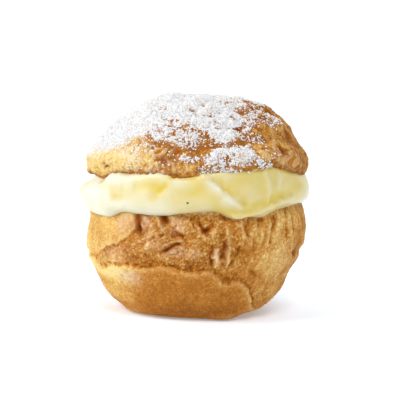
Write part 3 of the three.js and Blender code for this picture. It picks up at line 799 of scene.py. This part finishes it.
def sugared_choux(tree, crust, sugar):
    """Baked choux under sifted icing sugar: a thin pale veil, and clumps that hide the skin."""
    skin, normal, _ = skin_of(tree, crust, 0.6)
    place = add(tree, "TexCoord", out="Object")
    # clumps of sugar are about 0.75 mm across, and lie thicker and thinner over about 2.6 mm
    clump = {"Vector": place, "Scale": per(0.75), "Detail": 1.5, "Roughness": 0.7}
    clump = add(tree, "TexNoise", clump, "Fac")
    drift = {"Vector": place, "Scale": per(2.6), "Detail": 2, "Roughness": 0.6}
    drift = add(tree, "TexNoise", drift, "Fac")
    sugared = add(tree, "Attribute", out="Fac", attribute_name="sugar")
    heaped = add(tree, "Math", [clump, 6.0], operation="MULTIPLY")
    heaped = add(tree, "Math", [drift, 2.6, heaped], operation="MULTIPLY_ADD")
    both = add(tree, "Math", [sugared, 2.6, heaped], operation="MULTIPLY_ADD")
    heaps = {"Value": both, "From Min": 5.7, "From Max": 6.0}
    heaps = add(tree, "MapRange", heaps, interpolation_type="SMOOTHSTEP")
    packed = {"Value": sugared, "From Min": 0.02, "From Max": 0.5}
    packed = add(tree, "MapRange", packed, interpolation_type="SMOOTHSTEP")
    heaps = add(tree, "Math", [heaps, packed], operation="MULTIPLY")
    veil = add(tree, "Attribute", out="Fac", attribute_name="veil")
    cover = add(tree, "Math", [veil, heaps], operation="MAXIMUM")
    # Where the clumps lie low and thin, the sugar takes the shade colour: painted shade between
    # clumps, and partly thin sugar over the crust
    thin = {"Value": both, "From Min": 5.8, "From Max": 7.2, "To Min": 0.65, "To Max": 0.0}
    white = {0: add(tree, "MapRange", thin), 6: sugar.white, 7: sugar.shade}
    white = add(tree, "Mix", white, 2, data_type="RGBA")
    powder = {"Height": heaped, "Strength": cover, "Distance": 0.16 * MM, "Normal": normal}
    return {
        "Base Color": add(tree, "Mix", {0: cover, 6: skin, 7: white}, 2, data_type="RGBA"),
        "Roughness": add(tree, "MapRange", {"Value": cover, "To Min": 0.72, "To Max": 0.95}),
        "IOR": 1.45,
        "Specular IOR Level": 0.06,
        "Subsurface Weight": 0.05,
        "Subsurface Radius": (1.4, 0.9, 0.5),
        "Subsurface Scale": MM,
        "Normal": add(tree, "Bump", powder),
    }


def set_vanilla_custard(tree, custard):
    """Set vanilla custard: moist, faintly see-through, and softly glossy where it was smoothed."""
    place = add(tree, "TexCoord", out="Object")
    # drags of the spoon are about 4 mm apart, and clouds in the custard about 9 mm across
    drag = add(tree, "TexNoise", {"Vector": place, "Scale": per(4.0), "Detail": 2}, "Fac")
    cloud = add(tree, "TexNoise", {"Vector": place, "Scale": per(9.0), "Detail": 1}, "Fac")
    # The custard is yellower towards the right and in its folds and hollows, and paler on its bulges
    # and in patches on the left lobe: partly its own deeper yellow, partly painted shade and painted
    # highlight
    rich = add(tree, "Attribute", out="Fac", attribute_name="rich")
    rich = add(tree, "Math", [cloud, 0.6, rich], operation="MULTIPLY_ADD")
    rich = add(tree, "MapRange", {"Value": rich, "From Min": 0.2, "From Max": 1.2})
    tint = {0: rich, 6: custard.body, 7: custard.depth}
    normal = add(tree, "Bump", {"Height": drag, "Strength": 0.25, "Distance": 0.4 * MM})
    return {
        "Base Color": add(tree, "Mix", tint, 2, data_type="RGBA"),
        "Roughness": add(tree, "MapRange", {"Value": drag, "To Min": 0.25, "To Max": 0.45}),
        "IOR": 1.4,
        "Specular IOR Level": 0.4,
        "Subsurface Weight": 0.3,
        "Subsurface Radius": (3.2, 2.4, 1.0),
        "Subsurface Scale": MM,
        "Coat Weight": 0.5,
        "Coat Roughness": 0.22,
        "Normal": normal,
        "Coat Normal": normal,
    }


def icing_sugar(tree, sugar):
    """Icing sugar: clumps of crystals too fine to see, which scatter light and hardly shine."""
    place = add(tree, "TexCoord", out="Object")
    speck = add(tree, "TexNoise", {"Vector": place, "Scale": per(0.3)}, "Fac")
    tint = {0: speck, 6: sugar.white, 7: sugar.shade}
    return {
        "Base Color": add(tree, "Mix", tint, 2, data_type="RGBA"),
        "Roughness": 0.9,
        "IOR": 1.5,
        "Specular IOR Level": 0.3,
        "Subsurface Weight": 0.2,
        "Subsurface Radius": (0.5, 0.5, 0.5),
        "Subsurface Scale": MM,
    }


def vanilla_seed(tree, custard):
    """Vanilla seed: almost black, and oily enough to shine a little."""
    place = add(tree, "TexCoord", out="Object")
    speck = add(tree, "TexNoise", {"Vector": place, "Scale": per(0.2)}, "Fac")
    tint = {0: speck, 6: custard.seed, 7: linear("#4a3018")}
    tint = add(tree, "Mix", tint, 2, data_type="RGBA")
    return {"Base Color": tint, "Roughness": 0.35, "IOR": 1.5}


def lit_acrylic(tree, glow):
    """Matt white acrylic, lit from behind."""
    return {
        "Base Color": linear("#e5ecf6"),
        "Roughness": 0.9,
        "Specular IOR Level": 0.1,
        "Emission Color": linear("#ffffff"),
        "Emission Strength": glow,
    }


# ---- The choux base ----


def footing(z, bearing):
    """How far the foot stands out."""
    return sum(
        out * gauss(z / height) * near(bearing, at, width) for at, out, width, height in FOOTINGS
    )


def base_warp(p, bearing):
    """Slants the cut of an even base, and draws its foot in and out."""
    x, y, z = np.moveaxis(p, -1, 0)
    z = z * (1 + tilt(LOWER_CUT, p) / BASE_HEIGHT)
    share = 1 + footing(z, bearing) / (FOOT_RADIUS + z)
    shift = lerp(-0.5 * smooth(z, 1, 6), 0.5, smooth(z, 22, 30))
    return np.stack([x * share + shift, y * share, z], -1)


def plate(p, bearing):
    """1 on the smooth plate of crust at the front left, and 0 past its slanting edge."""
    edge = np.interp(turn(bearing, 0), *np.transpose(PLATE_EDGE), left=50, right=50)
    return smooth(p[..., 2] - edge + 0.6 * ripple(p, 2.2, 71), -0.35, 0.35)


def below_band(p, bearing):
    """How far each place lies below the torn edge of the band."""
    whole = smooth(np.abs(turn(bearing, BAND["torn_at"])), BAND["torn"], BAND["whole"])
    top = lerp(BAND["torn_top"], BAND["top"], whole) + whole * humps(BAND_WAVES, bearing)
    ragged = 0.9 * ripple(p, 4.2, 51) + 0.6 * ripple(p, 1.9, 52) + 0.4 * ripple(p, 1.1, 55)
    return top + ragged - p[..., 2]


def craggy(p, bearing):
    """How rough the base's skin is, from 0 on its smooth plate and band to 1."""
    pale_blister = near(bearing, 54, 13) * gauss((p[..., 2] - 19.5) / 5)
    calm = np.maximum(plate(p, bearing), 0.8 * pale_blister)
    return smooth(-below_band(p, bearing), -0.2, 1.2) * (1 - calm)


def base_relief(p, bearing, crust):
    """How far the base's skin stands out, without its folds."""
    z = p[..., 2]
    below = below_band(p, bearing)
    above = smooth(-below, -0.2, 2)
    rough = craggy(p, bearing)
    swell = 0.7 * lumps(p, 12, 5) + (0.2 + 0.4 * above) * lumps(p, 5, 9) + painted(BASE_SWELLS, p)
    torn = 0.35 + 0.65 * smooth(ripple(p, 7, 53), -0.35, 0.35)
    torn = torn * (1 - 0.7 * near(bearing, -2, 15))
    full = BAND["thick"] * smooth(below, -0.35, 0.35)
    band = full * np.exp(-np.maximum(below, 0) / BAND["fade"])
    lip = 0.08 * torn * gauss((below - 0.5) / 0.6)
    holes = 0.3 * gauss((below + 0.9) / 0.7) * smooth(ripple(p, 1.6, 54), 0.15, 0.5)
    middle = near(bearing, *CRAGGIEST)
    bent = stirred(p, 4, 1.4, 61)
    crags = 0.6 * crumple(bent, 7.5, 31) + (0.08 + 0.5 * middle) * crumple(bent, 3.4, 32)
    crags = crust.crag_depth / MM * (crags + (0.1 + 0.6 * middle) * crumple(p, 1.3, 33))
    # thin grooves run down from the rim at the right
    groove = 1 - np.cos(58 * np.radians(bearing) + z / 6 + 2.4 * ripple(p, 6, 35))
    grooves = smooth(z, 24, 29) * near(bearing, 46, 24) * smooth(ripple(p, 5, 40), -0.3, 0.3)
    grooves = 0.7 * grooves * gauss(groove / 0.5)
    pitted = pores(p, 1.7, 36, crust.pore_depth / MM, 0.42, (0.4, 0.65))
    dimpled = pores(p, 2.6, 39, 0.18, 0.7, (0.4, 0.7))
    skin = 0.12 * ripple(p, 1.4, 37) + 0.1 * ripple(p, 0.8, 38) * (0.6 + 0.8 * rough)
    crags = rough * (crags - pitted) - grooves - dimpled * (1 - above)
    flap = 0.55 * above * plate(p, bearing) * smooth(turn(bearing, 0), -68, -50)
    thin = torn * (full - band)
    return smooth(z, 0, 3) * (swell + band + lip + crags + flap + skin - 0.4 * thin - holes)


def base_brown(p, bearing):
    """How brown the base is, from 0 to 1."""
    below = below_band(p, bearing)
    left, right = flank(-bearing_of(p), 24, 52), flank(bearing_of(p), 22, 46)
    crag = 0.7 - 0.22 * left - 0.12 * right - 0.14 * plate(p, bearing)
    # The band darkens over its lowest 8 mm: painted shade where it faces the floor
    band = 0.82 - 0.34 * left - 0.2 * right + 0.22 * smooth(-p[..., 2], -8, -1)
    lip = -(0.04 + 0.3 * left) * gauss((below - 1.2) / (1.2 + 1.8 * left))
    lip = lip + gauss((below + 0.8) / 0.8) * (0.04 + 0.2 * smooth(ripple(p, 1.6, 54), 0.1, 0.4))
    tone = lerp(crag, band, smooth(below, -0.4, 0.7)) + lip
    return np.clip(tone + painted(BASE_TONES, p) + 0.07 * ripple(p, 7, 42), 0, 1)


def base_shape(crust):
    floor, roof = disc(FOOT_RADIUS, 0, 14), disc(CUT_RADIUS, BASE_HEIGHT, 16)[::-1]
    shape = Turned([floor, spline(BASE_WALL, 150), roof], crust.columns, base_warp)
    p = shape.rings
    folds = BASE_FOLDS + scattered(**BASE_SCATTER)
    folded = fold_height(BASE_WALL, base_warp, folds, p)
    height = base_relief(p, shape.bearing, crust) + smooth(p[..., 2], 0, 3) * folded
    below_cut = BASE_HEIGHT + tilt(LOWER_CUT, p) - p[..., 2]
    shape.push(height * smooth(below_cut, 0.1, 1.6))
    return shape


class PUFF_OT_choux_base(bpy.types.Operator):
    """Bakes the base: folds and crags above a smooth band with a torn edge"""

    bl_idname = "puff.choux_base"
    bl_label = "Choux Base"

    def execute(self, context):
        crust = context.scene.puff_crust
        shape = base_shape(crust)
        p, bearing = shape.rings, shape.bearing
        fine, broad = shape.stands_out(), shape.stands_out(9, 7)
        # The crust is browner in hollows and paler where it stands out, here at a broad scale and in
        # its brown below at a fine one: painted shade and highlight
        brown = base_brown(p, bearing) - 0.25 * np.clip(broad, -0.5, 0.5)
        rough = craggy(p, bearing) * (0.3 + 0.5 * near(bearing, *CRAGGIEST))
        glaze = (painted(BASE_GLAZE, p) + 0.03) * smooth(fine, -0.25, 0.0)
        # Paler tops of folds: painted highlight, faded out along the band's torn edge
        crest = smooth(fine, 0.12, 0.5) * (0.45 + 0.35 * ripple(p, 1.2, 48))
        crest = crest * (1 - 0.8 * gauss((below_band(p, bearing) - 0.5) / 1.2))
        attributes = {
            "brown": np.clip(brown - 0.3 * np.clip(fine, -0.4, 0.3), 0, 1),
            "rough": rough * np.clip(1 - glaze, 0.2, 1),
            # Creases and pits are darker and red-brown: painted shade
            "crease": np.clip(0.9 * smooth(-fine, 0.14, 0.7) + painted(BASE_PIT_SHADE, p), 0, 0.9),
            "crest": np.clip(crest, 0, 1),
            "glaze": np.clip(glaze * (0.7 + 0.8 * ripple(p, 2.2, 45)), 0, 1),
            # Painted sheen where the glaze is
            "film": np.clip(0.42 * glaze * (0.7 + 0.7 * ripple(p, 1.2, 46)), 0, 0.6),
        }
        material = made_of(baked_choux, crust)
        show("baked_base", shape.mesh(attributes), material, "baked_crust", "choux_base")
        return {"FINISHED"}


# ---- The choux cap ----


def above_cut(p, bearing):
    """How far each place lies above the upper cut."""
    return p[..., 2] - (CAP_FLOOR + tilt(UPPER_CUT, p) + humps(ARCHES, bearing))


def cap_warp(p, bearing):
    """Slants and arches the brim of an even cap, and shifts its crown."""
    x, y, z = np.moveaxis(p, -1, 0)
    low = 1 - (z - CAP_FLOOR) / (TOP - CAP_FLOOR)
    arched = humps(ARCHES, bearing) * smooth(off_axis(p), 20, 34)
    x = x + CROWN_SHIFT * smooth(z, 58, 66)
    z = z + tilt(UPPER_CUT, np.stack([x, y], -1)) * low + arched * low * low
    return np.stack([x, y, z], -1)


def sugar_cover(p, bearing):
    """How much sugar lies at each place of the cap, from 0 to 1."""
    around_it = turn(bearing, 0) + 0 * p[..., 0]
    edge = np.interp(around_it, *np.transpose(SUGAR_EDGE))
    drift = 1.2 * ripple(p, 5, 81) + 1.0 * ripple(p, 2.2, 82)
    cover = smooth(p[..., 2] - edge + drift, -4.4, 3.6)
    for path, reach, strength in SUGAR_PATCHES:
        away = distance_to(laid(CAP_DOME, cap_warp, path), p) + 0.5 * drift
        cover = np.maximum(cover, strength * smooth(-away, -reach - 1.2, -reach + 1.0))
    # it lies thinner in spots, most of all towards the right
    right = 0.3 + 0.24 * flank(around_it, -30, 30)
    spots = smooth(ripple(p, 3.2, 85) + 0.7 * ripple(p, 1.5, 86), 0.1, 0.6)
    return cover * (1 - right * spots) * (1 - np.clip(painted(SUGAR_BARE, p), 0, 1))


def cap_relief(p, bearing, crust):
    """How far the cap's skin stands out, without its folds and its sugar."""
    bent = stirred(p, 4, 1.2, 64)
    crags = 1.1 * crumple(bent, 5.6, 23) + 0.35 * crumple(bent, 2.6, 24) + 0.4 * crumple(p, 1.4, 25)
    front_left = near(bearing, -24, 24) * smooth(-p[..., 2], -61, -56)
    streaks = 0.3 * front_left * crumple(p * [1, 1, 0.5], 1.8, 26)
    dented = pores(bent, 4.4, 28, 0.6 * near(bearing, 62, 34), 1.5, (0.25, 0.6))
    pitted = pores(p, 2.0, 27, crust.pore_depth / MM, 0.5, (0.55, 0.75))
    rolled = 0.4 * gauss((above_cut(p, bearing) - 2) / 1.3)
    swell = 0.8 * lumps(p, 11, 21) + 0.5 * lumps(p, 4.5, 33)
    for x, y, rise, reach in CROWN_SWELLS:
        swell = swell + rise * gauss(off_axis(p - [x, y, 0]) / reach) * (p[..., 2] > 56)
    return swell + crust.crag_depth / MM * crags + streaks + rolled - dented - pitted


def cap_brown(p, bearing):
    """How brown the cap is, from 0 to 1."""
    left, right = flank(-bearing_of(p), 26, 60), flank(bearing_of(p), 30, 56)
    # Darker along the brim: partly its browner edge, partly painted shade where it hangs over the
    # custard
    brim = 0.55 * gauss((above_cut(p, bearing) - 1.6) / 1.2) * (1 - near(bearing, 17, 11))
    tone = 0.52 + 0.1 * smooth(p[..., 2], 58, 64) - 0.22 * left + 0.12 * right + brim
    tone = tone + painted(CAP_TONES, p) + 0.08 * ripple(p, 7, 43)
    return np.clip(tone + (0.08 + 0.12 * right) * ripple(p, 2.6, 44), 0, 1)


def cap_shape(crust, sugar):
    """The cap's shape, and how much sugar lies at each place of it."""
    outlines = [disc(CUT_RADIUS, CAP_FLOOR, 20), spline(CAP_DOME, 150)]
    shape = Turned(outlines, crust.columns, cap_warp)
    p, bearing = shape.rings, shape.bearing
    folds = CAP_FOLDS + scattered(**CAP_SCATTER)
    cover = sugar_cover(p, bearing)
    height = cap_relief(p, bearing, crust) * (1 - 0.15 * cover)
    height = height + fold_height(CAP_DOME, cap_warp, folds, p)
    powder = 1 + 0.5 * ripple(p, 0.9, 83) + 0.4 * ripple(p, 2.0, 84)
    height = height + sugar.cover / MM * cover * powder
    above = above_cut(p, bearing)
    shape.push(height * smooth(above, 0.1, 1.6))
    lift = humps(BRIM_LIFTS, bearing) * smooth(off_axis(p), 33, 35) * gauss(above / 3.5)
    shape.rings[..., 2] += lift
    shape.rings[..., :2] *= 1 - BRIM_BULGE * lift[..., None]
    return shape, cover * smooth(above, 0.9, 2.1)


class PUFF_OT_choux_cap(bpy.types.Operator):
    """Bakes the cap: an arched brim, burst blisters and a veil of sugar"""

    bl_idname = "puff.choux_cap"
    bl_label = "Choux Cap"

    def execute(self, context):
        crust, sugar = context.scene.puff_crust, context.scene.puff_sugar
        shape, cover = cap_shape(crust, sugar)
        p, bearing = shape.rings, shape.bearing
        fine, broad = shape.stands_out(), shape.stands_out(9, 7)
        # Painted shade in the cap's pits, tinted red-brown; less sugar lies there
        scorch = painted(CAP_PIT_SHADE, p)
        sifted = cover * (1 + 0.6 * np.clip(fine, -0.8, 0.3) + 0.25 * np.clip(broad, -1, 0.5))
        sifted = np.clip(sifted, 0, 1) * (1 - 0.5 * np.clip(scorch, 0, 1))
        # The crust is browner in hollows and paler where it stands out, at a broad and a fine scale:
        # painted shade and highlight
        brown = cap_brown(p, bearing) - 0.3 * np.clip(broad, -0.5, 0.5)
        # Where the sugar lies patchy, the crust between its clumps is darker: partly browner crust,
        # partly painted shade between the grains
        brown = brown + 1.9 * cover * (1 - cover) * flank(bearing_of(p), -40, -20)
        # Painted sheen, paler and pinker, on the cap's front left and in a spot on its right
        pinker = near(bearing, -28, 14) + 0.4 * near(bearing, 54, 12)
        # Painted shade along the lowest edge of the brim, over the custard
        edge = gauss((above_cut(p, bearing) - 1.2) / 1.1) * (1 - 0.5 * near(bearing, 17, 14))
        # Paler tops of folds are painted highlight; on the front left the crust also has pale
        # crinkles
        crinkled = near(bearing, -29, 14) * smooth(-p[..., 2], -62, -57)
        crinkles = smooth(ripple(p * [1, 1, 0.45], 1.0, 29), 0.05, 0.4)
        crest = (0.3 + 0.3 * crinkled) * smooth(fine, 0.12, 0.45) + 0.6 * crinkled * crinkles
        veil = 0.6 * sifted * flank(-bearing_of(p), 24, 56)
        attributes = {
            "brown": np.clip(brown - 0.4 * np.clip(fine, -0.4, 0.3), 0, 1),
            "rough": 0.7 + 0 * fine,
            "crease": np.clip(0.9 * smooth(-fine, 0.14, 0.7) + scorch + 0.6 * edge**3, 0, 0.95),
            "crest": np.clip(crest, 0, 0.9) * (1 - edge),
            "film": (0.08 + 0.2 * pinker) * smooth(ripple(p, 1.6, 47), -0.1, 0.5),
            "sugar": sifted,
            "grains": 4 * sifted**2 * (1 - sifted) + 0.25 * sifted,
            "veil": np.maximum(veil, 0.6 * smooth(sifted, 0.55, 0.95)),
        }
        material = made_of(sugared_choux, crust, sugar)
        show("baked_cap", shape.mesh(attributes), material, "sugared_crust", "choux_cap")
        return {"FINISHED"}


# ---- The custard ----


def custard_warp(p, bearing):
    """Slants both faces of an even layer, hangs its lobes and follows the arches of the brim."""
    x, y, z = np.moveaxis(p, -1, 0)
    outer = smooth(off_axis(p), 22, 33.5)
    lower = tilt(LOWER_CUT, p) - outer * (LEAST_DROP + humps(DROPS, bearing))
    upper = tilt(UPPER_CUT, p) + outer * humps(ARCHES, bearing)
    return np.stack([x, y, z + lerp(lower, upper, smooth(z, LIP, LIP + 8))], -1)


def custard_relief(p, bearing):
    """How far the custard's edge bulges, without its folds."""
    lobes = 0.9 * near(bearing, -62, 26) + 0.7 * near(bearing, 78, 22)
    sag = SAG["depth"] * near(bearing, SAG["at"], SAG["width"])
    sag = sag * smooth(p[..., 2], SAG["low"], SAG["high"])
    swell = 0.5 * lumps(p, 13, 41) + 0.25 * lumps(p, 6, 47)
    swell = swell + 0.9 * gauss((above_cut(p, bearing) - 0.4) / 1.7) * near(bearing, -4, 40)
    drags = 0.14 * ripple(p * [1, 1, 1.5], 4.5, 91) + 0.05 * ripple(p, 1.8, 92)
    return lobes - sag + swell + drags


def custard_shape(custard):
    floor, roof = disc(CUT_RADIUS, LIP - TUCK, 14), disc(CUT_RADIUS, CAP_FLOOR + TUCK, 14)[::-1]
    shape = Turned([floor, spline(CUSTARD_BEAD, 90), roof], custard.columns, custard_warp)
    p = shape.rings
    folds = CUSTARD_FOLDS + scattered(**CUSTARD_SCATTER)
    height = custard_relief(p, shape.bearing)
    height = height + fold_height(CUSTARD_BEAD, custard_warp, folds, p, 2)
    shape.push(height * smooth(off_axis(p), 33.5, 36))
    return shape


class PUFF_OT_custard_layer(bpy.types.Operator):
    """Fills the puff with custard that bulges past both crusts"""

    bl_idname = "puff.custard_layer"
    bl_label = "Custard Layer"

    def execute(self, context):
        custard = context.scene.puff_custard
        shape = custard_shape(custard)
        # Yellower to the right and in hollows, paler on bulges: partly the custard's own yellow,
        # partly painted shade and highlight
        rich = 0.44 + 0.28 * flank(bearing_of(shape.rings), -40, 20)
        rich = rich - 0.7 * np.clip(shape.stands_out(8, 7), -0.5, 0.5)
        mesh = shape.mesh({"rich": np.clip(rich + painted(CUSTARD_TONES, shape.rings), 0, 1)})
        material = made_of(set_vanilla_custard, custard)
        show("set_custard", mesh, material, "vanilla_custard", "custard_layer")
        return {"FINISHED"}


# ---- Vanilla seeds ----


def small_ball(radius):
    """The points and faces of a small round body."""
    bm = bmesh.new()
    bmesh.ops.create_icosphere(bm, subdivisions=2, radius=radius)
    verts = [v.co.copy() for v in bm.verts]
    faces = [[v.index for v in f.verts] for f in bm.faces]
    bm.free()
    return verts, faces


class PUFF_OT_vanilla_seeds(bpy.types.Operator):
    """Presses a few vanilla seeds into the face of the custard"""

    bl_idname = "puff.vanilla_seeds"
    bl_label = "Vanilla Seeds"

    def execute(self, context):
        custard = context.scene.puff_custard
        surface = bpy.data.objects["set_custard"].data
        points = np.zeros(len(surface.vertices) * 3)
        surface.vertices.foreach_get("co", points)
        points = points.reshape(-1, 3)
        ball, triangles = small_ball(custard.seed_length / 2)
        verts, faces = [], []
        # each seed is a small flattened ball, turned its own way
        for n, (bearing, z) in enumerate(SEED_PLACES):
            aside = turn(bearing_of(points), bearing) * FACE_DEGREE * MM
            off = np.hypot(aside, points[:, 2] - z * MM)
            off[off_axis(points) < FACE_RADIUS * MM] = 1
            place = Matrix.Translation(points[np.argmin(off)])
            place = place @ Matrix.Rotation(math.radians(-bearing), 4, "Z")
            place = place @ Matrix.Rotation(1.3 * n, 4, "Y") @ Matrix.Diagonal((1, 0.7, 0.72, 1))
            faces += [[len(verts) + i for i in face] for face in triangles]
            verts += [place @ v for v in ball]
        material = made_of(vanilla_seed, custard)
        show("vanilla_seeds", smooth_mesh(verts, faces), material, "vanilla_custard")
        return {"FINISHED"}


# ---- Loose icing sugar ----


def sugar_tree(material):
    """Geometry Nodes: scatters small uneven clumps over a surface, thickest where it says."""
    tree = bpy.data.node_groups.new("sifted_sugar", "GeometryNodeTree")
    face = tree.interface
    inputs = {"Geometry": "Geometry", "Clump Width": "Float", "Density": "Float", "Seed": "Int"}
    for name, kind in inputs.items():
        face.new_socket(name, in_out="INPUT", socket_type="NodeSocket" + kind)
    face.new_socket("Geometry", in_out="OUTPUT", socket_type="NodeSocketGeometry")
    given = add(tree, "NodeGroupInput").node.outputs
    width, seed = given["Clump Width"], given["Seed"]
    cover = {"Name": "grains"}
    cover = add(tree, "GeometryNodeInputNamedAttribute", cover, "Attribute", data_type="FLOAT")
    density = add(tree, "Math", [cover, given["Density"]], operation="MULTIPLY")
    points = {"Mesh": given["Geometry"], "Density": density, "Seed": seed}
    points = add(tree, "GeometryNodeDistributePointsOnFaces", points, "Points")
    clump = add(tree, "GeometryNodeMeshIcoSphere", {"Radius": width, "Subdivisions": 1}, "Mesh")
    jitter = {0: (-0.28,) * 3, 1: (0.28,) * 3, "Seed": seed}
    jitter = add(tree, "FunctionNodeRandomValue", jitter, data_type="FLOAT_VECTOR")
    push = add(tree, "VectorMath", {0: jitter, "Scale": width}, operation="SCALE")
    clump = add(tree, "GeometryNodeSetPosition", {"Geometry": clump, "Offset": push})
    spin = {0: (0,) * 3, 1: (math.tau,) * 3, "Seed": seed}
    spin = add(tree, "FunctionNodeRandomValue", spin, data_type="FLOAT_VECTOR")
    size = {2: 0.28, 3: 0.62, "Seed": seed}
    size = add(tree, "FunctionNodeRandomValue", size, 1, data_type="FLOAT")
    grains = {"Points": points, "Instance": clump, "Rotation": spin, "Scale": size}
    grains = add(tree, "GeometryNodeInstanceOnPoints", grains)
    grains = add(tree, "GeometryNodeRealizeInstances", {"Geometry": grains})
    grains = add(tree, "GeometryNodeSetMaterial", {"Geometry": grains, "Material": material})
    add(tree, "NodeGroupOutput", {"Geometry": grains})
    return tree


class PUFF_OT_icing_sugar(bpy.types.Operator):
    """Sifts loose clumps of icing sugar over the cap"""

    bl_idname = "puff.icing_sugar"
    bl_label = "Icing Sugar"

    def execute(self, context):
        sugar = context.scene.puff_sugar
        material = made_of(icing_sugar, sugar)
        source = put("sifter", bpy.data.objects["baked_cap"].data.copy())
        modifier = source.modifiers.new("sifted_sugar", "NODES")
        modifier.node_group = sugar_tree(material)
        inputs = {"Clump Width": sugar.grain, "Density": 1 / sugar.spacing**2, "Seed": 5}
        for socket in modifier.node_group.interface.items_tree:
            if socket.name in inputs:
                modifier[socket.identifier] = inputs[socket.name]
        context.view_layer.update()
        evaluated = source.evaluated_get(context.evaluated_depsgraph_get())
        mesh = bpy.data.meshes.new_from_object(evaluated)
        bpy.data.objects.remove(source)
        show("sugar_grains", mesh, material, "sugared_crust")
        return {"FINISHED"}


# ---- Studio ----


class PUFF_OT_studio(bpy.types.Operator):
    """Sets up a white sweep, soft lights and the camera"""

    bl_idname = "puff.studio"
    bl_label = "Studio"

    elevation = math.radians(6)
    roll = math.radians(2)
    target = Vector((1.5, 0, 37.65)) * MM

    def execute(self, context):
        studio = context.scene.puff_studio
        self.lay_sweep(studio)
        self.light(context, studio)
        self.place_camera(context, studio)
        return {"FINISHED"}

    def lay_sweep(self, studio):
        """A white sheet that lies under the puff and curves up behind it."""
        front, foot, radius, top, half_width = SWEEP.values()
        turns = np.linspace(0.1, math.pi / 2, 16)
        bend = [(foot + radius * math.sin(t), radius - radius * math.cos(t)) for t in turns]
        curve = [(front, 0), (foot, 0), *bend, (foot + radius, top)]
        points = [(x, y, z) for y, z in curve for x in (-half_width, half_width)]
        faces = [(n, n + 1, n + 3, n + 2) for n in range(0, len(points) - 2, 2)]
        sweep = put("sweep", smooth_mesh(points, faces))
        sweep.data.materials.append(made_of(lit_acrylic, studio.glow))

    def light(self, context, studio):
        world = bpy.data.worlds.new("white_surroundings")
        world.use_nodes = True
        background = world.node_tree.nodes["Background"]
        background.inputs["Color"].default_value = linear("#ffffff")
        background.inputs["Strength"].default_value = studio.sky
        context.scene.world = world
        for name, place, size, tint in LAMPS:
            light = bpy.data.lights.new(name, "AREA")
            light.shape = "DISK"
            light.size = size
            light.energy = getattr(studio, name)
            light.color = linear(tint)[:3]
            lamp = put(name, light)
            lamp.location = place
            aim = self.target - lamp.location
            lamp.rotation_euler = aim.to_track_quat("-Z", "Y").to_euler()
        context.scene.view_settings.view_transform = "Standard"
        context.scene.view_settings.look = "None"

    def place_camera(self, context, studio):
        data = bpy.data.cameras.new("camera")
        data.sensor_width = 36
        data.lens = data.sensor_width * studio.distance / studio.field
        data.clip_start = 0.01
        camera = put("camera", data)
        back = Vector((0, -math.cos(self.elevation), math.sin(self.elevation)))
        look = (-back).to_track_quat("-Z", "Y").to_matrix().to_4x4()
        place = Matrix.Translation(self.target + studio.distance * back)
        camera.matrix_world = place @ look @ Matrix.Rotation(self.roll, 4, "Z")
        context.scene.camera = camera


# ---- Add-on ----

SETTINGS = {
    "puff_crust": CrustSettings,
    "puff_custard": CustardSettings,
    "puff_sugar": SugarSettings,
    "puff_studio": StudioSettings,
}
STEPS = (
    PUFF_OT_choux_base,
    PUFF_OT_custard_layer,
    PUFF_OT_vanilla_seeds,
    PUFF_OT_choux_cap,
    PUFF_OT_icing_sugar,
    PUFF_OT_studio,
)


class PUFF_PT_panel(bpy.types.Panel):
    bl_label = "Cream Puff"
    bl_idname = "PUFF_PT_panel"
    bl_space_type = "VIEW_3D"
    bl_region_type = "UI"
    bl_category = "Puff"

    def draw(self, context):
        for step in STEPS:
            self.layout.operator(step.bl_idname)
        for name, group in SETTINGS.items():
            box = self.layout.box()
            for key in group.__annotations__:
                box.prop(getattr(context.scene, name), key)


def register():
    for group in (*SETTINGS.values(), *STEPS, PUFF_PT_panel):
        bpy.utils.register_class(group)
    for name, group in SETTINGS.items():
        setattr(bpy.types.Scene, name, PointerProperty(type=group))


def unregister():
    for name in SETTINGS:
        delattr(bpy.types.Scene, name)
    for group in reversed((*SETTINGS.values(), *STEPS, PUFF_PT_panel)):
        bpy.utils.unregister_class(group)


def main():
    register()
    bpy.ops.puff.choux_base()
    bpy.ops.puff.custard_layer()
    bpy.ops.puff.vanilla_seeds()
    bpy.ops.puff.choux_cap()
    bpy.ops.puff.icing_sugar()
    bpy.ops.puff.studio()


if __name__ == "__main__":
    main()
